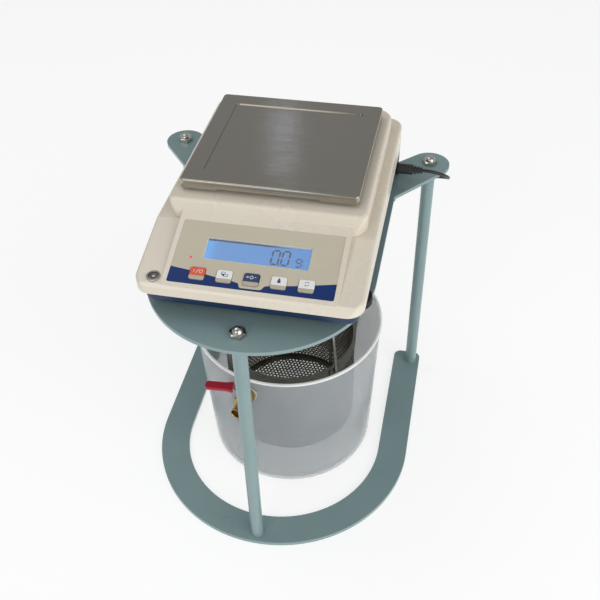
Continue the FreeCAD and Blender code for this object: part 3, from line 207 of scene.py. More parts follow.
# Black ABS and PVC: a fine grain of about 0.3 mm breaks up the gloss.
moulded_black = moulded_abs("moulded_black_abs", 3000.0, 0.2, 90.0, 4.0, ("#141415", "#232426"), (0.38, 0.5))
coat(["dc_plug", "dc_jack", "wall_adapter", "key_switches"], moulded_black)


def bare_metal(name, scale, detail, colours, roughness):
    """A metal without paint, whose fine marks vary its tone and its gloss together."""
    mat = material(name)
    place = put(mat, "ShaderNodeTexCoord").outputs["Object"]
    marks = put(mat, "ShaderNodeTexNoise", {"Vector": place, "Scale": scale, "Detail": detail}).outputs["Fac"]
    shade = put(mat, "ShaderNodeMix", {"Factor": marks, "A": srgb(colours[0]), "B": srgb(colours[1])},
                data_type="RGBA")
    gloss = put(mat, "ShaderNodeMapRange",
                {"Value": marks, "To Min": roughness[0], "To Max": roughness[1]}).outputs["Result"]
    shader = put(mat, "ShaderNodeBsdfPrincipled",
                 {"Base Color": shade.outputs["Result"], "Roughness": gloss, "Metallic": 1.0})
    put(mat, "ShaderNodeOutputMaterial", {"Surface": shader.outputs["BSDF"]})
    return mat


# Thin nickel over drawn brass: a warm bright metal with fine scratches from the socket.
nickel = bare_metal("nickel_plated_pins", 900.0, 5.0, ("#b9b0a0", "#d4cdbf"), (0.12, 0.3))
coat(["adapter_pins"], nickel)

# ---- bench, light -------------------------------------------------------------------------------
# A pale bench top without a visible edge, a large soft lamp in front on the right, a weaker one on the left,
# one above and a small one far behind, which the brushed pan draws out into a streak.
bench_paint = material("pale_bench")
shader = put(bench_paint, "ShaderNodeBsdfPrincipled",
             {"Base Color": srgb("#9a9c9c"), "Roughness": 0.9, "Emission Color": srgb("#f9f9f8"),
              "Emission Strength": 0.77})
put(bench_paint, "ShaderNodeOutputMaterial", {"Surface": shader.outputs["BSDF"]})
bpy.ops.mesh.primitive_plane_add(size=12.0)
bench = bpy.context.object
bench.name = "bench_top"
bench.data.materials.append(bench_paint)

world = bpy.data.worlds.new("room")
world.use_nodes = True
scene.world = world
world.node_tree.nodes["Background"].inputs["Color"].default_value = (0.97, 0.985, 1.0, 1.0)
world.node_tree.nodes["Background"].inputs["Strength"].default_value = 0.4


def lamp(name, place, towards, size, power, colour=(1.0, 1.0, 1.0)):
    """A soft square lamp that points at a place."""
    data = bpy.data.lights.new(name, "AREA")
    data.size = size
    data.energy = power
    data.color = colour
    lit = bpy.data.objects.new(name, data)
    scene.collection.objects.link(lit)
    way = Vector(towards) - Vector(place)
    lit.matrix_world = Matrix.Translation(place) @ way.to_track_quat("-Z", "Y").to_matrix().to_4x4()


lamp("lamp_right", (1.75, -1.3, 1.1), (0.0, 0.0, 0.25), 2.2, 28.5, (1.0, 0.99, 0.96))
lamp("lamp_left", (-0.75, -2.0, 1.5), (0.0, 0.0, 0.25), 0.9, 8.0, (0.97, 0.98, 1.0))
lamp("lamp_above", (-0.9, 0.2, 2.2), (0.0, 0.0, 0.3), 1.2, 6.5)
lamp("lamp_behind", (-0.5, 2.1, 1.7), (0.0, 0.04, 0.4), 0.06, 0.035, (0.62, 0.73, 1.0))

# ---- stand --------------------------------------------------------------------------------------
# A laser-cut base and top plate and three round posts, all steel, powder coated teal grey and screwed
# together.
powder_coat = material("satin_powder_coat")
# Powder coat flows into a slight orange peel of about 1.5 mm; its colour is even, with a little dust.
place = put(powder_coat, "ShaderNodeTexCoord").outputs["Object"]
peel = put(powder_coat, "ShaderNodeTexNoise", {"Vector": place, "Scale": 650.0, "Detail": 2.0}).outputs["Fac"]
drift = put(powder_coat, "ShaderNodeTexNoise", {"Vector": place, "Scale": 14.0, "Detail": 4.0}).outputs["Fac"]
shade = put(powder_coat, "ShaderNodeMix", {"Factor": drift, "A": srgb("#7c9495"), "B": srgb("#8aa1a3")},
            data_type="RGBA")
bump = put(powder_coat, "ShaderNodeBump",
           {"Height": peel, "Strength": 0.22, "Distance": 0.0003}).outputs["Normal"]
gloss = put(powder_coat, "ShaderNodeMapRange",
            {"Value": drift, "To Min": 0.24, "To Max": 0.34}).outputs["Result"]
shader = put(powder_coat, "ShaderNodeBsdfPrincipled",
             {"Base Color": shade.outputs["Result"], "Roughness": gloss, "Normal": bump, "IOR": 1.5})
put(powder_coat, "ShaderNodeOutputMaterial", {"Surface": shader.outputs["BSDF"]})
coat(["base_plate", "top_plate", "post_front", "post_rear_right", "post_rear_left"], powder_coat)

# Cold-formed stainless acorn nuts, tumbled bright, with fine random scratches.
polished_steel = bare_metal("polished_stainless_nuts", 1200.0, 6.0, ("#a8a59c", "#d8d6d0"), (0.08, 0.24))
coat(["dome_nut_front", "dome_nut_rear_right", "dome_nut_rear_left"], polished_steel)

# Zinc-plated machine screws and pressed parts: soft grey metal with slight cloudiness.
plain_steel = bare_metal("zinc_plated_screws", 300.0, 4.0, ("#8d8f8f", "#b7b9b8"), (0.25, 0.45))
coat(["base_screws", "case_screws", "cell_screws", "valve_stem", "valve_lever"], plain_steel)

# ---- housing ------------------------------------------------------------------------------------
# The balance's upper housing, one injection moulding with a fine eroded texture on its outside. It is cream
# ABS: a warm off-white, half matt from a grain of about 0.4 mm, a touch warmer where hands have been.
cream_abs = moulded_abs("cream_textured_abs", 2400.0, 0.12, 18.0, 5.0, ("#ded5c4", "#e2d9c9"), (0.22, 0.32))
coat(["upper_housing"], cream_abs)

# ---- lower case ---------------------------------------------------------------------------------
# The tray under the housing, moulded with the same texture. It is blue ABS: a deep colour, half matt from
# the same 0.4 mm grain.
blue_abs = moulded_abs("blue_textured_abs", 2400.0, 0.15, 25.0, 4.0, ("#07264a", "#0c2f56"), (0.34, 0.46))
coat(["lower_case"], blue_abs)

# ---- keypad overlay -----------------------------------------------------------------------------
# A polyester film printed from behind: warm grey, with a blue wave along its lower edge that dips under the
# middle key.
panel_tilt = math.radians(17.4)
panel_origin = Vector((0.007, -0.13035, 0.356))
wave = [
    (-0.0745, 0.0162), (-0.0726, 0.0159), (-0.0544, 0.0137), (-0.0305, 0.0097), (-0.0112, 0.0066),
    (-0.0078, 0.0021), (0.0092, 0.0024), (0.0132, 0.0066), (0.0400, 0.0108), (0.0745, 0.0172),
]
wave_left, wave_right = wave[0][0], wave[-1][0]
curve_scale = 40.0  # the wave's height on the node's curve, which runs from 0 to 1
ink_edge = 0.004


def keypad_axes(mat, place):
    """A point's place along the keypad and up its slope."""
    turned = put(mat, "ShaderNodeMapping",
                 {"Vector": place, "Location": panel_origin, "Rotation": (panel_tilt, 0.0, 0.0)},
                 vector_type="TEXTURE")
    split = put(mat, "ShaderNodeSeparateXYZ", {"Vector": turned.outputs["Vector"]})
    return split.outputs["X"], split.outputs["Y"]


printed_film = material("printed_polyester_film")
# The film's matt hard coat has a fine etch; the two inks are flat and meet in a sharp line.
place = put(printed_film, "ShaderNodeTexCoord").outputs["Object"]
along, upward = keypad_axes(printed_film, place)
share = put(printed_film, "ShaderNodeMapRange",
            {"Value": along, "From Min": wave_left, "From Max": wave_right}).outputs["Result"]
edge_line = put(printed_film, "ShaderNodeFloatCurve", {"Value": share})
shape = edge_line.mapping.curves[0]
for number, (x, y) in enumerate(wave):
    at = ((x - wave_left) / (wave_right - wave_left), y * curve_scale)
    if number == 0:
        shape.points[0].location = at
    elif number == len(wave) - 1:
        shape.points[-1].location = at
    else:
        shape.points.new(*at)
for point in shape.points:
    point.handle_type = "AUTO_CLAMPED"
edge_line.mapping.update()
above = put(printed_film, "ShaderNodeMath", {0: upward, 1: curve_scale}, operation="MULTIPLY")
past = put(printed_film, "ShaderNodeMath", {0: above.outputs["Value"], 1: edge_line.outputs["Value"]},
           operation="SUBTRACT")
inked = put(printed_film, "ShaderNodeMapRange",
            {"Value": past.outputs["Value"], "From Min": -ink_edge, "From Max": ink_edge}).outputs["Result"]
etch = put(printed_film, "ShaderNodeTexNoise",
           {"Vector": place, "Scale": 2600.0, "Detail": 2.0}).outputs["Fac"]
drift = put(printed_film, "ShaderNodeTexNoise", {"Vector": place, "Scale": 30.0}).outputs["Fac"]
warm = put(printed_film, "ShaderNodeMix", {"Factor": drift, "A": srgb("#c4bba7"), "B": srgb("#cdc4b1")},
           data_type="RGBA")
blue = put(printed_film, "ShaderNodeMix", {"Factor": drift, "A": srgb("#022a68"), "B": srgb("#05306e")},
           data_type="RGBA")
shade = put(printed_film, "ShaderNodeMix",
            {"Factor": inked, "A": blue.outputs["Result"], "B": warm.outputs["Result"]}, data_type="RGBA")
bump = put(printed_film, "ShaderNodeBump",
           {"Height": etch, "Strength": 0.1, "Distance": 0.00005}).outputs["Normal"]
shader = put(printed_film, "ShaderNodeBsdfPrincipled",
             {"Base Color": shade.outputs["Result"], "Roughness": 0.42, "Specular IOR Level": 0.25,
              "Normal": bump})
put(printed_film, "ShaderNodeOutputMaterial", {"Surface": shader.outputs["BSDF"]})
coat(["panel_overlay"], printed_film)


def only(piece):
    """Selects one piece alone."""
    bpy.ops.object.select_all(action="DESELECT")
    piece.select_set(True)
    bpy.context.view_layer.objects.active = piece


def printed(name, outlines, low, thick, mat):
    """A flat print from closed outlines, each inside another cut out of it, in the keypad's own axes."""
    flat = bpy.data.curves.new(name, "CURVE")
    flat.dimensions = "2D"
    flat.fill_mode = "BOTH"
    flat.extrude = thick / 2
    for outline in outlines:
        loop = flat.splines.new("POLY")
        loop.points.add(len(outline) - 1)
        loop.use_cyclic_u = True
        for point, (x, y) in zip(loop.points, outline):
            point.co = (x, y, 0.0, 1.0)
    piece = bpy.data.objects.new(name, flat)
    scene.collection.objects.link(piece)
    only(piece)
    bpy.ops.object.convert(target="MESH")
    piece = bpy.context.object
    piece.data.transform(Matrix.Translation((0.0, 0.0, low + thick / 2)))
    piece.data.transform(Matrix.Translation(panel_origin) @ Matrix.Rotation(panel_tilt, 4, "X"))
    piece.data.materials.clear()
    piece.data.materials.append(mat)
    piece.select_set(False)
    return piece


# ---- display ------------------------------------------------------------------------------------
# A backlit liquid-crystal glass behind a clear window in the film. The light comes in from its left end.
bright_end = (-0.049, -0.036)  # along the glass
shadow_edge = (0.0486, 0.0491)  # up the glass
shadow_end = (0.008, 0.030)  # along the glass

lit_glass = material("backlit_liquid_crystal")
# The backlight is a flat pale blue, brighter by the lamps at its left end, with a thin shadow under the
# window's upper edge that runs out towards the right.
place = put(lit_glass, "ShaderNodeTexCoord").outputs["Object"]
along, upward = keypad_axes(lit_glass, place)
across = put(lit_glass, "ShaderNodeMapRange",
             {"Value": along, "From Min": bright_end[0], "From Max": bright_end[1]},
             interpolation_type="SMOOTHSTEP")
spread = put(lit_glass, "ShaderNodeMix",
             {"Factor": across.outputs["Result"], "A": srgb("#54a8f4"), "B": srgb("#4c8acf")},
             data_type="RGBA")
top_shadow = put(lit_glass, "ShaderNodeMapRange",
                 {"Value": upward, "From Min": shadow_edge[0], "From Max": shadow_edge[1]},
                 interpolation_type="SMOOTHSTEP")
fading = put(lit_glass, "ShaderNodeMapRange",
             {"Value": along, "From Min": shadow_end[0], "From Max": shadow_end[1], "To Min": 1.0,
              "To Max": 0.0})
shadow = put(lit_glass, "ShaderNodeMath", {0: top_shadow.outputs["Result"], 1: fading.outputs["Result"]},
             operation="MULTIPLY")
glow = put(lit_glass, "ShaderNodeMix",
           {"Factor": shadow.outputs["Value"], "A": spread.outputs["Result"], "B": srgb("#1c2c44")},
           data_type="RGBA")
shader = put(lit_glass, "ShaderNodeBsdfPrincipled",
             {"Base Color": srgb("#1b2b44"), "Roughness": 0.25, "Emission Color": glow.outputs["Result"],
              "Emission Strength": 0.85})
put(lit_glass, "ShaderNodeOutputMaterial", {"Surface": shader.outputs["BSDF"]})
coat(["lcd_module"], lit_glass)

clear_window = material("clear_polyester_window")
# The unprinted part of the film: clear, glossy and almost colourless.
place = put(clear_window, "ShaderNodeTexCoord").outputs["Object"]
smear = put(clear_window, "ShaderNodeTexNoise",
            {"Vector": place, "Scale": 60.0, "Detail": 4.0}).outputs["Fac"]
gloss = put(clear_window, "ShaderNodeMapRange",
            {"Value": smear, "To Min": 0.03, "To Max": 0.12}).outputs["Result"]
shader = put(clear_window, "ShaderNodeBsdfPrincipled",
             {"Base Color": srgb("#f4f8fb"), "Roughness": gloss, "IOR": 1.45, "Specular IOR Level": 0.4,
              "Alpha": 0.06})
put(clear_window, "ShaderNodeOutputMaterial", {"Surface": shader.outputs["BSDF"]})
coat(["lcd_window"], clear_window)


def flat_finish(name, scale, colours, roughness, detail=2.0, more=None):
    """An even finish of one gloss, whose colour drifts a little; more has further values of its shader."""
    mat = material(name)
    place = put(mat, "ShaderNodeTexCoord").outputs["Object"]
    drift = put(mat, "ShaderNodeTexNoise", {"Vector": place, "Scale": scale, "Detail": detail}).outputs["Fac"]
    shade = put(mat, "ShaderNodeMix", {"Factor": drift, "A": srgb(colours[0]), "B": srgb(colours[1])},
                data_type="RGBA")
    shader = put(mat, "ShaderNodeBsdfPrincipled",
                 {"Base Color": shade.outputs["Result"], "Roughness": roughness, **(more or {})})
    put(mat, "ShaderNodeOutputMaterial", {"Surface": shader.outputs["BSDF"]})
    return mat


# Switched-on segments: a dark blue grey with soft gloss from the glass over them.
crystal_ink = flat_finish("dark_crystal_segments", 500.0, ("#2c3548", "#384256"), 0.3)

glass_face = -0.003
print_gap = 0.00002  # keeps a print off the face that it lies on
segment_thickness = 0.00012
slant = 0.04
segment_gap = 0.00045
first_figure, second_figure, unit_figure = (0.0123, 0.0316), (0.0214, 0.0316), (0.0346, 0.0315)
figure_size = (0.0064, 0.0144, 0.0016)  # width, height and stroke
unit_size = (0.0050, 0.0080, 0.0012)
decimal_point = [(0.0193, 0.0310), (0.0204, 0.0310), (0.0204, 0.0321), (0.0193, 0.0321)]


def digit(x, y, wide, tall, thick, lit):
    """The outlines of a seven-segment figure; lit names its segments, a to g, from the top clockwise."""
    half = tall / 2
    ends = {
        "a": ((0, tall), (wide, tall)), "b": ((wide, half), (wide, tall)), "c": ((wide, 0), (wide, half)),
        "d": ((0, 0), (wide, 0)), "e": ((0, 0), (0, half)), "f": ((0, half), (0, tall)),
        "g": ((0, half), (wide, half)),
    }
    outlines = []
    for name in lit:
        start, end = Vector(ends[name][0]), Vector(ends[name][1])
        way = (end - start).normalized()
        side = Vector((-way.y, way.x)) * thick / 2
        start = start + way * segment_gap
        end = end - way * segment_gap
        tips = [start, start + way * thick / 2 + side, end - way * thick / 2 + side,
                end, end - way * thick / 2 - side, start + way * thick / 2 - side]
        outlines.append([(x + p.x + slant * p.y, y + p.y) for p in tips])
    return outlines


figures = digit(*first_figure, *figure_size, "abcdef")
figures += digit(*second_figure, *figure_size, "abcdef")
figures += [decimal_point]
figures += digit(*unit_figure, *unit_size, "abcdfg")
readout = printed("readout_segments", figures, glass_face + print_gap, segment_thickness, crystal_ink)
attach(readout, "stand")

# ---- keys ---------------------------------------------------------------------------------------
# Five keys in two-colour moulded ABS, a coloured cap with a bare cream strip below it, and a pad-printed sign
# on each.
key_pitch = 0.0245
key_line = 0.0114
key_top = 0.0006
cap_edge = (0.0026, 0.0024)  # the coloured shot ends between these, below the key's middle
sign_rise = 0.0020
sign_thickness = 0.00006
stroke = 0.0004
sheet_outside, sheet_inside = 0.0024, 0.0016


def ring_outline(x, y, radius, sides=24):
    """A circle."""
    corners = [2 * math.pi * k / sides for k in range(sides)]
    return [(x + radius * math.cos(a), y + radius * math.sin(a)) for a in corners]


def bar_outline(x0, y0, x1, y1, thick):
    """A straight bar from one point to another."""
    way = Vector((x1 - x0, y1 - y0)).normalized()
    side = Vector((-way.y, way.x)) * thick / 2
    return [(x0 + side.x, y0 + side.y), (x1 + side.x, y1 + side.y),
            (x1 - side.x, y1 - side.y), (x0 - side.x, y0 - side.y)]


def arc_outline(x, y, radius, thick, start, end, steps=10):
    """A part of a ring, between two angles in degrees."""
    angles = [math.radians(start + (end - start) * k / steps) for k in range(steps + 1)]
    far, near = radius + thick / 2, radius - thick / 2
    outer = [(x + far * math.cos(a), y + far * math.sin(a)) for a in angles]
    inner = [(x + near * math.cos(a), y + near * math.sin(a)) for a in reversed(angles)]
    return outer + inner


def key_sign(name, x):
    """A key's sign: on and off, two sheets, to zero, a weight, or a round change."""
    y = key_line + sign_rise
    if name == "power":
        return [bar_outline(x - 0.0032, y - 0.0014, x - 0.0032, y + 0.0014, stroke),
                bar_outline(x - 0.0014, y - 0.0020, x + 0.0010, y + 0.0020, stroke),
                ring_outline(x + 0.0030, y, 0.0017), ring_outline(x + 0.0030, y, 0.0013)]
    if name == "unit":
        return [bar_outline(x - 0.0030, y + 0.0010, x + 0.0006, y + 0.0010, sheet_outside),
                bar_outline(x - 0.0026, y + 0.0010, x + 0.0002, y + 0.0010, sheet_inside),
                bar_outline(x - 0.0004, y - 0.0012, x + 0.0032, y - 0.0012, sheet_outside),
                bar_outline(x + 0.0000, y - 0.0012, x + 0.0028, y - 0.0012, sheet_inside)]
    if name == "tare":
        return [bar_outline(x - 0.0052, y, x - 0.0038, y, stroke),
                [(x - 0.0038, y - 0.0009), (x - 0.0024, y), (x - 0.0038, y + 0.0009)],
                ring_outline(x, y, 0.0017), ring_outline(x, y, 0.0012),
                bar_outline(x + 0.0038, y, x + 0.0052, y, stroke),
                [(x + 0.0038, y - 0.0009), (x + 0.0024, y), (x + 0.0038, y + 0.0009)]]
    if name == "print":
        return [[(x - 0.0016, y - 0.0022), (x + 0.0016, y - 0.0022), (x + 0.0012, y + 0.0006),
                 (x + 0.0004, y + 0.0009), (x - 0.0004, y + 0.0009), (x - 0.0012, y + 0.0006)],
                ring_outline(x, y + 0.0016, 0.0009, 14)]
    return [arc_outline(x, y, 0.0018, stroke, 50, 175), arc_outline(x, y, 0.0018, stroke, 230, 355),
            [(x + 0.0020, y + 0.0017), (x + 0.0007, y + 0.0022), (x + 0.0007, y + 0.0008)],
            [(x - 0.0020, y - 0.0017), (x - 0.0007, y - 0.0022), (x - 0.0007, y - 0.0008)]]


# Pad-printed ink is thick, even and matt.
white_ink = flat_finish("white_pad_print", 1500.0, ("#e4e6ea", "#f4f5f7"), 0.6)
blue_ink = flat_finish("blue_pad_print", 1500.0, ("#2b3f72", "#3b5085"), 0.6)

# Each key's two tones, its slot and its sign's ink, from left to right.
white_key = ("#e6e6e4", "#efefed", "key_white", blue_ink)
key_finishes = {
    "power": ("#d54a20", "#e05a2c", "key_orange", white_ink), "unit": white_key,
    "tare": ("#08265a", "#0d2c62", "key_blue", white_ink), "print": white_key, "mode": white_key,
}
for number, (name, (low, high, slot, ink)) in enumerate(key_finishes.items()):
    cap = material("two_shot_abs_key_" + name)
    # The coloured shot covers the cap's upper part; the cream shot shows below it, in the overlay's colour.
    place = put(cap, "ShaderNodeTexCoord").outputs["Object"]
    along, upward = keypad_axes(cap, place)
    upper = put(cap, "ShaderNodeMapRange", {"Value": upward, "From Min": key_line - cap_edge[0],
                                            "From Max": key_line - cap_edge[1]}).outputs["Result"]
    worn = put(cap, "ShaderNodeTexNoise", {"Vector": place, "Scale": 120.0, "Detail": 4.0}).outputs["Fac"]
    colour = put(cap, "ShaderNodeMix", {"Factor": worn, "A": srgb(low), "B": srgb(high)}, data_type="RGBA")
    strip = put(cap, "ShaderNodeMix", {"Factor": worn, "A": srgb("#b1a793"), "B": srgb("#bbb29f")},
                data_type="RGBA")
    shade = put(cap, "ShaderNodeMix",
                {"Factor": upper, "A": strip.outputs["Result"], "B": colour.outputs["Result"]},
                data_type="RGBA")
    shader = put(cap, "ShaderNodeBsdfPrincipled",
                 {"Base Color": shade.outputs["Result"], "Roughness": 0.38, "IOR": 1.54})
    put(cap, "ShaderNodeOutputMaterial", {"Surface": shader.outputs["BSDF"]})
    coat(["key_" + name], cap)
    sign = printed("key_sign_" + name, key_sign(name, (number - 2) * key_pitch), key_top + print_gap,
                   sign_thickness, ink)
    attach(sign, "key_" + name)

# ---- lamp beside the display --------------------------------------------------------------------
# A small clear red lens that shows that the adapter is plugged in. It is tinted acrylic, lit from behind.
red_lens = flat_finish("clear_red_lens", 700.0, ("#c81f2c", "#e23a42"), 0.15,
                       more={"Emission Color": srgb("#e02030"), "Emission Strength": 0.35})
coat(["power_led"], red_lens)

# ---- bubble level -------------------------------------------------------------------------------
# A clear acrylic vial of spirit in a polished steel cup, with a black ring round the middle of its face and
# an air bubble under it. The acrylic is glossy, and the greyish spirit is dark at its depth.
spirit = flat_finish("tinted_spirit_in_acrylic", 220.0, ("#5b5c58", "#7b7c76"), 0.06,
                     more={"IOR": 1.49, "Coat Weight": 1.0, "Coat Roughness": 0.03})
coat(["bubble_level_vial"], spirit)
coat(["bubble_level_cup"], polished_steel)

# The bubble's skin mirrors the light that comes in from above.
silver_air = flat_finish("air_bubble_in_spirit", 400.0, ("#b9bcb6", "#d9dbd6"), 0.1, more={"Metallic": 0.6})

vial_low, vial_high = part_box("bubble_level_vial")
level_x, level_y = (vial_low.x + vial_high.x) / 2, (vial_low.y + vial_high.y) / 2
ring_radius = 0.0024
ring_line = 0.00018  # half of the ring line's thickness
bubble_radius = 0.0017
bubble_drift = 0.0003
bubble_flatness = 0.22


def edit_all():
    """Opens the active piece in edit mode with everything selected."""
    bpy.ops.object.mode_set(mode="EDIT")
    bpy.ops.mesh.select_all(action="SELECT")


bpy.ops.mesh.primitive_torus_add(location=(level_x, level_y, vial_high.z), major_segments=40,
                                 minor_segments=6, major_radius=ring_radius, minor_radius=ring_line)
level_ring = bpy.context.object
bpy.ops.object.transform_apply(location=True, rotation=False, scale=False)
bpy.ops.object.shade_smooth()
bpy.ops.mesh.primitive_uv_sphere_add(segments=24, ring_count=12, radius=bubble_radius,
                                     location=(level_x + bubble_drift, level_y, vial_high.z))
bubble = bpy.context.object
bpy.ops.object.transform_apply(location=True, rotation=False, scale=False)
edit_all()
bpy.ops.transform.resize(value=(1.0, 1.0, bubble_flatness), center_override=(level_x, level_y, vial_high.z))
bpy.ops.object.mode_set(mode="OBJECT")
bpy.ops.object.shade_smooth()
level_ring.name = "level_ring"
level_ring.data.materials.append(moulded_black)
bubble.name = "level_bubble"
bubble.data.materials.append(silver_air)
for piece in (level_ring, bubble):
    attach(piece, "stand")

# ---- pan ----------------------------------------------------------------------------------------
# A pressed stainless pan with its sides folded down and a square swage that keeps it flat, brushed from side
# to side.
brushed_pan = material("brushed_stainless_pan")
# Belt grinding leaves lines a few tenths of a millimetre apart and centimetres long, so lights smear across
# them.
place = put(brushed_pan, "ShaderNodeTexCoord").outputs["Object"]
long_lines = put(brushed_pan, "ShaderNodeMapping", {"Vector": place, "Scale": (4.0, 1500.0, 1500.0)})
lines = put(brushed_pan, "ShaderNodeTexNoise",
            {"Vector": long_lines.outputs["Vector"], "Scale": 1.0, "Detail": 3.0}).outputs["Fac"]
stain = put(brushed_pan, "ShaderNodeTexNoise", {"Vector": place, "Scale": 16.0, "Detail": 5.0}).outputs["Fac"]
tone = put(brushed_pan, "ShaderNodeMix", {"Factor": lines, "A": srgb("#9e9a92"), "B": srgb("#b6b1a8")},
           data_type="RGBA")
shade = put(brushed_pan, "ShaderNodeMix",
            {"Factor": stain, "A": tone.outputs["Result"], "B": srgb("#a59f94")}, data_type="RGBA")
bump = put(brushed_pan, "ShaderNodeBump",
           {"Height": lines, "Strength": 0.45, "Distance": 0.0001}).outputs["Normal"]
gloss = put(brushed_pan, "ShaderNodeMapRange",
            {"Value": stain, "To Min": 0.09, "To Max": 0.12}).outputs["Result"]
shader = put(brushed_pan, "ShaderNodeBsdfPrincipled",
             {"Base Color": shade.outputs["Result"], "Roughness": gloss, "Metallic": 1.0, "Normal": bump})
put(brushed_pan, "ShaderNodeOutputMaterial", {"Surface": shader.outputs["BSDF"]})
coat(["weighing_pan"], brushed_pan)

# ---- under the pan ------------------------------------------------------------------------------
# The load cell, its block, the bracket and the cross that carries the pan, machined or pressed in aluminium.
machined = material("machined_aluminium")
# Milled aluminium: light grey with fine cutter lines 1 mm apart.
place = put(machined, "ShaderNodeTexCoord").outputs["Object"]
cuts = put(machined, "ShaderNodeTexWave", {"Vector": place, "Scale": 300.0, "Distortion": 0.6}).outputs["Fac"]
cloud = put(machined, "ShaderNodeTexNoise", {"Vector": place, "Scale": 80.0, "Detail": 4.0}).outputs["Fac"]
shade = put(machined, "ShaderNodeMix", {"Factor": cloud, "A": srgb("#a9acae"), "B": srgb("#c6c8ca")},
            data_type="RGBA")
bump = put(machined, "ShaderNodeBump",
           {"Height": cuts, "Strength": 0.15, "Distance": 0.0001}).outputs["Normal"]
shader = put(machined, "ShaderNodeBsdfPrincipled",
             {"Base Color": shade.outputs["Result"], "Roughness": 0.36, "Metallic": 1.0, "Normal": bump})
put(machined, "ShaderNodeOutputMaterial", {"Surface": shader.outputs["BSDF"]})
coat(["load_cell", "load_cell_block", "pan_bracket", "pan_support"], machined)

# ---- feet and pads ------------------------------------------------------------------------------
# The balance's four levelling feet and the four pads under the pan, moulded in nitrile rubber: matt black
# with a faint bloom.
black_rubber = flat_finish("moulded_black_rubber", 150.0, ("#151515", "#2a2a29"), 0.7, detail=5.0)
coat(["pan_pads", "foot_front_right", "foot_front_left", "foot_rear_right", "foot_rear_left"], black_rubber)

# ---- boards -------------------------------------------------------------------------------------
# The main board and the display's board, both screwed inside the housing.
circuit = material("green_solder_mask")
# Epoxy glass board under green solder mask, with its copper showing faintly as lighter tracks.
place = put(circuit, "ShaderNodeTexCoord").outputs["Object"]
tracks = put(circuit, "ShaderNodeTexBrick",
             {"Vector": place, "Color1": srgb("#12502f"), "Color2": srgb("#16603a"),
              "Mortar": srgb("#2a8a58"), "Scale": 90.0, "Mortar Size": 0.03})
shader = put(circuit, "ShaderNodeBsdfPrincipled", {"Base Color": tracks.outputs["Color"], "Roughness": 0.3})
put(circuit, "ShaderNodeOutputMaterial", {"Surface": shader.outputs["BSDF"]})
coat(["display_board", "main_board"], circuit)

# ---- valve gaskets ------------------------------------------------------------------------------
# Two flat rings cut from pale silicone sheet, one each side of the bucket's wall: milky, matt and slightly
# see-through at their edges.
silicone = flat_finish("pale_silicone_gasket", 200.0, ("#b9b7b0", "#cbc9c3"), 0.55,
                       more={"Subsurface Weight": 0.2, "Subsurface Scale": 0.002})
coat(["valve_gaskets"], silicone)

# ---- under-hook and bail ------------------------------------------------------------------------
# The balance's hook and the basket's bail, in bright stainless wire bent cold. Drawing leaves fine lines
# along the wire; at this size they read as a slight haze.
bright_wire = bare_metal("bright_drawn_wire", 900.0, 4.0, ("#a19d93", "#c6c2b9"), (0.18, 0.34))
coat(["under_hook", "basket_bail"], bright_wire)

# ---- basket -------------------------------------------------------------------------------------
# A cylinder rolled from perforated stainless sheet, 3 mm holes in staggered rows, lapped and spot welded down
# one side. Its bottom is a perforated disc with a turned-up rim, and a plain band is rolled over its mouth.
dull_steel = material("dull_rolled_stainless")
# Rolled sheet as it comes from the mill: a grey metal, cloudy, with darker patches.
place = put(dull_steel, "ShaderNodeTexCoord").outputs["Object"]
cloud = put(dull_steel, "ShaderNodeTexNoise", {"Vector": place, "Scale": 45.0, "Detail": 6.0}).outputs["Fac"]
rolled = put(dull_steel, "ShaderNodeTexNoise",
             {"Vector": place, "Scale": 1100.0, "Detail": 2.0}).outputs["Fac"]
shade = put(dull_steel, "ShaderNodeMix", {"Factor": cloud, "A": srgb("#6d685f"), "B": srgb("#989286")},
            data_type="RGBA")
bump = put(dull_steel, "ShaderNodeBump",
           {"Height": rolled, "Strength": 0.15, "Distance": 0.0001}).outputs["Normal"]
gloss = put(dull_steel, "ShaderNodeMapRange",
            {"Value": cloud, "To Min": 0.26, "To Max": 0.42}).outputs["Result"]
shader = put(dull_steel, "ShaderNodeBsdfPrincipled",
             {"Base Color": shade.outputs["Result"], "Roughness": gloss, "Metallic": 1.0, "Normal": bump})
put(dull_steel, "ShaderNodeOutputMaterial", {"Surface": shader.outputs["BSDF"]})
coat(["basket_rim", "bail_ears"], dull_steel)

basket_middle = Vector((0.005, 0.02225, 0.0))
basket_radius = 0.075
sheet_thickness = 0.001
hole_size = 0.003
hole_corners = 8
holes_round = 104
row_pairs = 13
tile_wide = 2 * math.pi * basket_radius / holes_round
tile_tall = tile_wide * math.sqrt(3) / 2
plain_edge = 0.007  # from the sheet's lower edge to its first row of holes
near_middle = 0.0004  # a tile's corner nearer than this to its middle line stays on that line
weld_distance = 0.0002
edge_band = 0.0003
sharp_angle = math.radians(35)
wall_low, wall_high = (corner.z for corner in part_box("basket_wall"))


def applied(piece, kind, **settings):
    """Adds a modifier with its settings and applies it."""
    only(piece)
    change = piece.modifiers.new(kind.lower(), kind)
    for name, value in settings.items():
        setattr(change, name, value)
    bpy.ops.object.modifier_apply(modifier=change.name)


def rowed(piece, count, step):
    """Repeats a piece at even steps."""
    applied(piece, "ARRAY", count=count, use_relative_offset=False, use_constant_offset=True,
            constant_offset_displace=step)


def pick(piece, wanted):
    """Selects what has all its vertices where wanted says, and goes back to edit mode."""
    bpy.ops.object.mode_set(mode="OBJECT")
    mesh = piece.data
    chosen = [bool(wanted(v.co)) for v in mesh.vertices]
    for vertex in mesh.vertices:
        vertex.select = chosen[vertex.index]
    for edge in mesh.edges:
        edge.select = all(chosen[v] for v in edge.vertices)
    for face in mesh.polygons:
        face.select = all(chosen[v] for v in face.vertices)
    bpy.ops.object.mode_set(mode="EDIT")


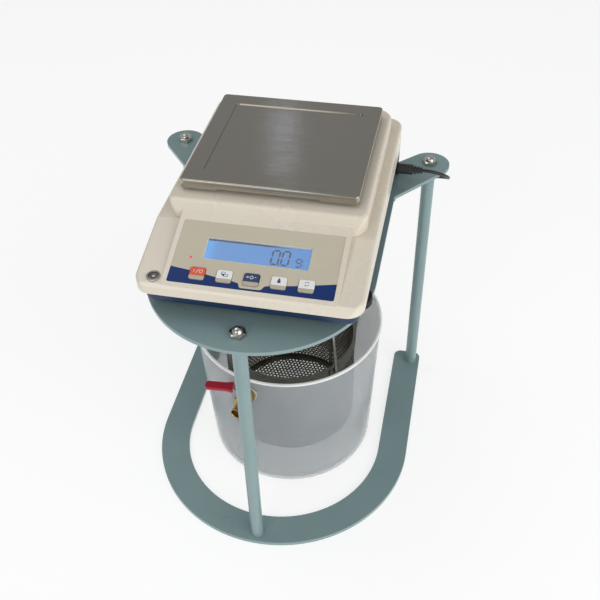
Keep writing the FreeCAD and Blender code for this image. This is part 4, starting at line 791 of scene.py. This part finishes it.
def perforated_pair(name):
    """Two tiles of sheet, each with a hole, the second half a tile to the right and one row up."""
    bpy.ops.mesh.primitive_circle_add(vertices=hole_corners, radius=hole_size / 2)
    tile = bpy.context.object
    tile.name = name
    edit_all()
    bpy.ops.mesh.extrude_edges_move()
    bpy.ops.object.mode_set(mode="OBJECT")
    for vertex in tile.data.vertices:
        if vertex.select:
            x, y = vertex.co.x, vertex.co.y
            vertex.co.x = math.copysign(tile_wide / 2, x) if abs(x) > near_middle else 0.0
            vertex.co.y = math.copysign(tile_tall / 2, y) if abs(y) > near_middle else 0.0
    rowed(tile, 2, (tile_wide / 2, tile_tall, 0.0))
    return tile


# The flat sheet is stood up, bent round and welded, and its plain edges are drawn out from the holes.
wall = perforated_pair("basket_perforated_wall")
rowed(wall, holes_round, (tile_wide, 0.0, 0.0))
rowed(wall, row_pairs, (0.0, 2 * tile_tall, 0.0))
edit_all()
bpy.ops.transform.rotate(value=-math.pi / 2, orient_axis="X", center_override=(0.0, 0.0, 0.0))
bpy.ops.object.mode_set(mode="OBJECT")
if max(v.co.z for v in wall.data.vertices) < row_pairs * tile_tall:
    wall.data.transform(Matrix.Rotation(math.pi, 4, "X"))
flat_length = (holes_round + 0.5) * tile_wide
left_end = min(v.co.x for v in wall.data.vertices)
wall.data.transform(Matrix.Translation((-left_end - flat_length / 2, 0.0, 0.0)))
applied(wall, "SIMPLE_DEFORM", deform_method="BEND", deform_axis="Z",
        angle=2 * math.pi * (holes_round + 0.5) / holes_round)
bend_side = basket_radius if sum(v.co.y for v in wall.data.vertices) > 0 else -basket_radius
lowest = min(v.co.z for v in wall.data.vertices)
first_row = wall_low + plain_edge
rise = first_row - tile_tall / 2 - lowest
wall.data.transform(Matrix.Translation(basket_middle + Vector((0.0, -bend_side, rise))))
only(wall)
edit_all()
bpy.ops.mesh.remove_doubles(threshold=weld_distance)
low_edge = min(v.co.z for v in wall.data.vertices)
high_edge = max(v.co.z for v in wall.data.vertices)
pick(wall, lambda co: co.z < low_edge + edge_band)
bpy.ops.mesh.extrude_edges_move(TRANSFORM_OT_translate={"value": (0.0, 0.0, wall_low - low_edge)})
pick(wall, lambda co: co.z > high_edge - edge_band)
bpy.ops.mesh.extrude_edges_move(TRANSFORM_OT_translate={"value": (0.0, 0.0, wall_high - high_edge)})
bpy.ops.mesh.select_all(action="SELECT")
bpy.ops.mesh.normals_make_consistent(inside=False)
bpy.ops.object.mode_set(mode="OBJECT")
a_face = wall.data.polygons[0]
if a_face.normal.dot(a_face.center - basket_middle - Vector((0, 0, a_face.center.z))) < 0:
    wall.data.flip_normals()
applied(wall, "SOLIDIFY", thickness=sheet_thickness, offset=-1.0)
only(wall)
bpy.ops.object.shade_smooth_by_angle(angle=sharp_angle)
wall.data.materials.append(dull_steel)
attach(wall, "basket")
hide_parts("basket_wall")

# The sheet's two ends lie one on the other down the right rear side, and the inner one's folded edge stands
# proud.
seam_angle = math.radians(60)
seam_thick, seam_wide = 0.0014, 0.004
seam_radius = basket_radius - sheet_thickness - seam_thick / 2
seam_place = Vector((seam_radius * math.cos(seam_angle), seam_radius * math.sin(seam_angle),
                     (wall_low + wall_high) / 2))
bpy.ops.mesh.primitive_cube_add(size=1.0, location=basket_middle + seam_place)
seam = bpy.context.object
seam.name = "basket_seam"
seam.scale = (seam_thick, seam_wide, wall_high - wall_low - plain_edge)
seam.rotation_euler = (0.0, 0.0, seam_angle)
bpy.ops.object.transform_apply(location=True, rotation=True, scale=True)
applied(seam, "BEVEL", width=0.0005, segments=2)
bpy.ops.object.shade_smooth_by_angle(angle=sharp_angle)
seam.data.materials.append(dull_steel)
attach(seam, "basket")

# The bottom: a perforated disc with no holes near its edge, on a plain margin that turns up into the wall.
bottom_low, bottom_high = (corner.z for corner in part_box("basket_bottom"))
wall_gap = 0.00005
bottom_radius = basket_radius - sheet_thickness - wall_gap
margin_radius = bottom_radius - 0.006
margin_overlap = 0.002
floor_top = 0.00096  # above the bottom's underside
floor_thickness = 0.00092
across_count = int(2 * margin_radius / tile_wide) + 1
down_pairs = int(margin_radius / tile_tall) + 1
floor_sheet = perforated_pair("basket_perforated_floor")
rowed(floor_sheet, across_count, (tile_wide, 0.0, 0.0))
rowed(floor_sheet, down_pairs, (0.0, 2 * tile_tall, 0.0))
shift = Vector((-(across_count - 0.5) * tile_wide / 2, -(2 * down_pairs - 1) * tile_tall / 2, 0.0))
floor_sheet.data.transform(Matrix.Translation(shift))
edit_all()
bpy.ops.mesh.remove_doubles(threshold=weld_distance)
bpy.ops.mesh.normals_make_consistent(inside=False)
pick(floor_sheet, lambda co: co.xy.length > margin_radius + margin_overlap)
bpy.ops.mesh.delete(type="VERT")
bpy.ops.object.mode_set(mode="OBJECT")
floor_sheet.data.transform(Matrix.Translation(basket_middle + Vector((0.0, 0.0, bottom_low + floor_top))))
if floor_sheet.data.polygons[0].normal.z < 0:
    floor_sheet.data.flip_normals()
applied(floor_sheet, "SOLIDIFY", thickness=floor_thickness, offset=-1.0)

underside = basket_middle + Vector((0, 0, bottom_low))
bpy.ops.mesh.primitive_circle_add(vertices=96, radius=margin_radius, location=underside)
dish = bpy.context.object
dish.name = "basket_floor_rim"
bpy.ops.object.transform_apply(location=True, rotation=False, scale=False)
edit_all()
bpy.ops.mesh.extrude_edges_move()
grow = bottom_radius / margin_radius
bpy.ops.transform.resize(value=(grow, grow, 1.0), center_override=underside)
bpy.ops.mesh.extrude_edges_move(TRANSFORM_OT_translate={"value": (0.0, 0.0, bottom_high - bottom_low)})
bpy.ops.mesh.select_all(action="SELECT")
bpy.ops.mesh.normals_make_consistent(inside=False)
bpy.ops.object.mode_set(mode="OBJECT")
if dish.data.polygons[0].normal.z > 0:
    dish.data.flip_normals()
applied(dish, "SOLIDIFY", thickness=sheet_thickness, offset=-1.0)
applied(dish, "BEVEL", width=0.0004, segments=2, limit_method="ANGLE")
only(floor_sheet)
dish.select_set(True)
bpy.ops.object.join()
bpy.ops.object.shade_smooth_by_angle(angle=sharp_angle)
floor_sheet.data.materials.append(dull_steel)
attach(floor_sheet, "basket")
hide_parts("basket_bottom")

# ---- bucket -------------------------------------------------------------------------------------
# A blow-moulded polypropylene pail, 2 mm thick and milky, so that the basket shows through its wall as a soft
# shadow.
rim_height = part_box("bucket")[1].z
rim_highlight_edge = (0.0026, 0.0016)  # the painted highlight along the rim starts between these, below the top
floor_edge = (0.004, 0.012)  # the cover grows from the floor's to the wall's between these
floor_cover, wall_cover = 0.3, 0.52

milky_pp = material("milky_polypropylene")
# Natural polypropylene: waxy, half matt, and it scatters light inside, so it is paler where the light comes
# through it. Its rim is painted near white, a painted highlight for the light on the rim's bead, and the
# floor lets the bench show through.
place = put(milky_pp, "ShaderNodeTexCoord").outputs["Object"]
flow = put(milky_pp, "ShaderNodeTexNoise", {"Vector": place, "Scale": 9.0, "Detail": 4.0}).outputs["Fac"]
wax = put(milky_pp, "ShaderNodeTexNoise", {"Vector": place, "Scale": 500.0, "Detail": 3.0}).outputs["Fac"]
body = put(milky_pp, "ShaderNodeMix", {"Factor": flow, "A": srgb("#aab0b4"), "B": srgb("#b7bbbe")},
           data_type="RGBA")
height = put(milky_pp, "ShaderNodeSeparateXYZ", {"Vector": place}).outputs["Z"]
painted_rim_highlight = put(milky_pp, "ShaderNodeMapRange", {"Value": height, "From Min": rim_height - rim_highlight_edge[0],
                                              "From Max": rim_height - rim_highlight_edge[1]}).outputs["Result"]
# The band just under the rim is painted near white: a painted highlight, not the pail's own colour.
shade = put(milky_pp, "ShaderNodeMix", {"Factor": painted_rim_highlight, "A": body.outputs["Result"], "B": srgb("#f0f0ec")},
            data_type="RGBA")
cover = put(milky_pp, "ShaderNodeMapRange",
            {"Value": height, "From Min": floor_edge[0], "From Max": floor_edge[1],
             "To Min": floor_cover, "To Max": wall_cover}).outputs["Result"]
solid = put(milky_pp, "ShaderNodeMath", {0: cover, 1: painted_rim_highlight}, operation="MAXIMUM").outputs["Value"]
bump = put(milky_pp, "ShaderNodeBump", {"Height": wax, "Strength": 0.1, "Distance": 0.0001}).outputs["Normal"]
gloss = put(milky_pp, "ShaderNodeMapRange",
            {"Value": flow, "To Min": 0.26, "To Max": 0.34}).outputs["Result"]
shader = put(milky_pp, "ShaderNodeBsdfPrincipled",
             {"Base Color": shade.outputs["Result"], "Roughness": gloss, "Normal": bump, "IOR": 1.49,
              "Alpha": solid, "Subsurface Weight": 1.0, "Subsurface Radius": (1.0, 1.0, 1.0),
              "Subsurface Scale": 0.004})
put(milky_pp, "ShaderNodeOutputMaterial", {"Surface": shader.outputs["BSDF"]})
coat(["bucket"], milky_pp)

# ---- drain valve --------------------------------------------------------------------------------
# A small brass ball valve, turned and milled from bar and screwed through the bucket's wall: a warm metal,
# tarnished a little darker in patches. Its tool rings are too fine to show.
turned_brass = bare_metal("turned_brass", 160.0, 5.0, ("#9a8048", "#c4a96d"), (0.2, 0.42))
coat(["valve_body", "valve_wall_nut", "valve_ball", "valve_outlet"], turned_brass)

red_vinyl = material("dipped_red_vinyl")
# The lever is dipped in liquid vinyl, which cures soft and half glossy, with slow waves from the dip.
place = put(red_vinyl, "ShaderNodeTexCoord").outputs["Object"]
waves = put(red_vinyl, "ShaderNodeTexNoise", {"Vector": place, "Scale": 140.0, "Detail": 3.0}).outputs["Fac"]
shade = put(red_vinyl, "ShaderNodeMix", {"Factor": waves, "A": srgb("#980a26"), "B": srgb("#b31030")},
            data_type="RGBA")
bump = put(red_vinyl, "ShaderNodeBump",
           {"Height": waves, "Strength": 0.3, "Distance": 0.0008}).outputs["Normal"]
shader = put(red_vinyl, "ShaderNodeBsdfPrincipled",
             {"Base Color": shade.outputs["Result"], "Roughness": 0.3, "Normal": bump,
              "Specular IOR Level": 0.4})
put(red_vinyl, "ShaderNodeOutputMaterial", {"Surface": shader.outputs["BSDF"]})
coat(["lever_sleeve"], red_vinyl)
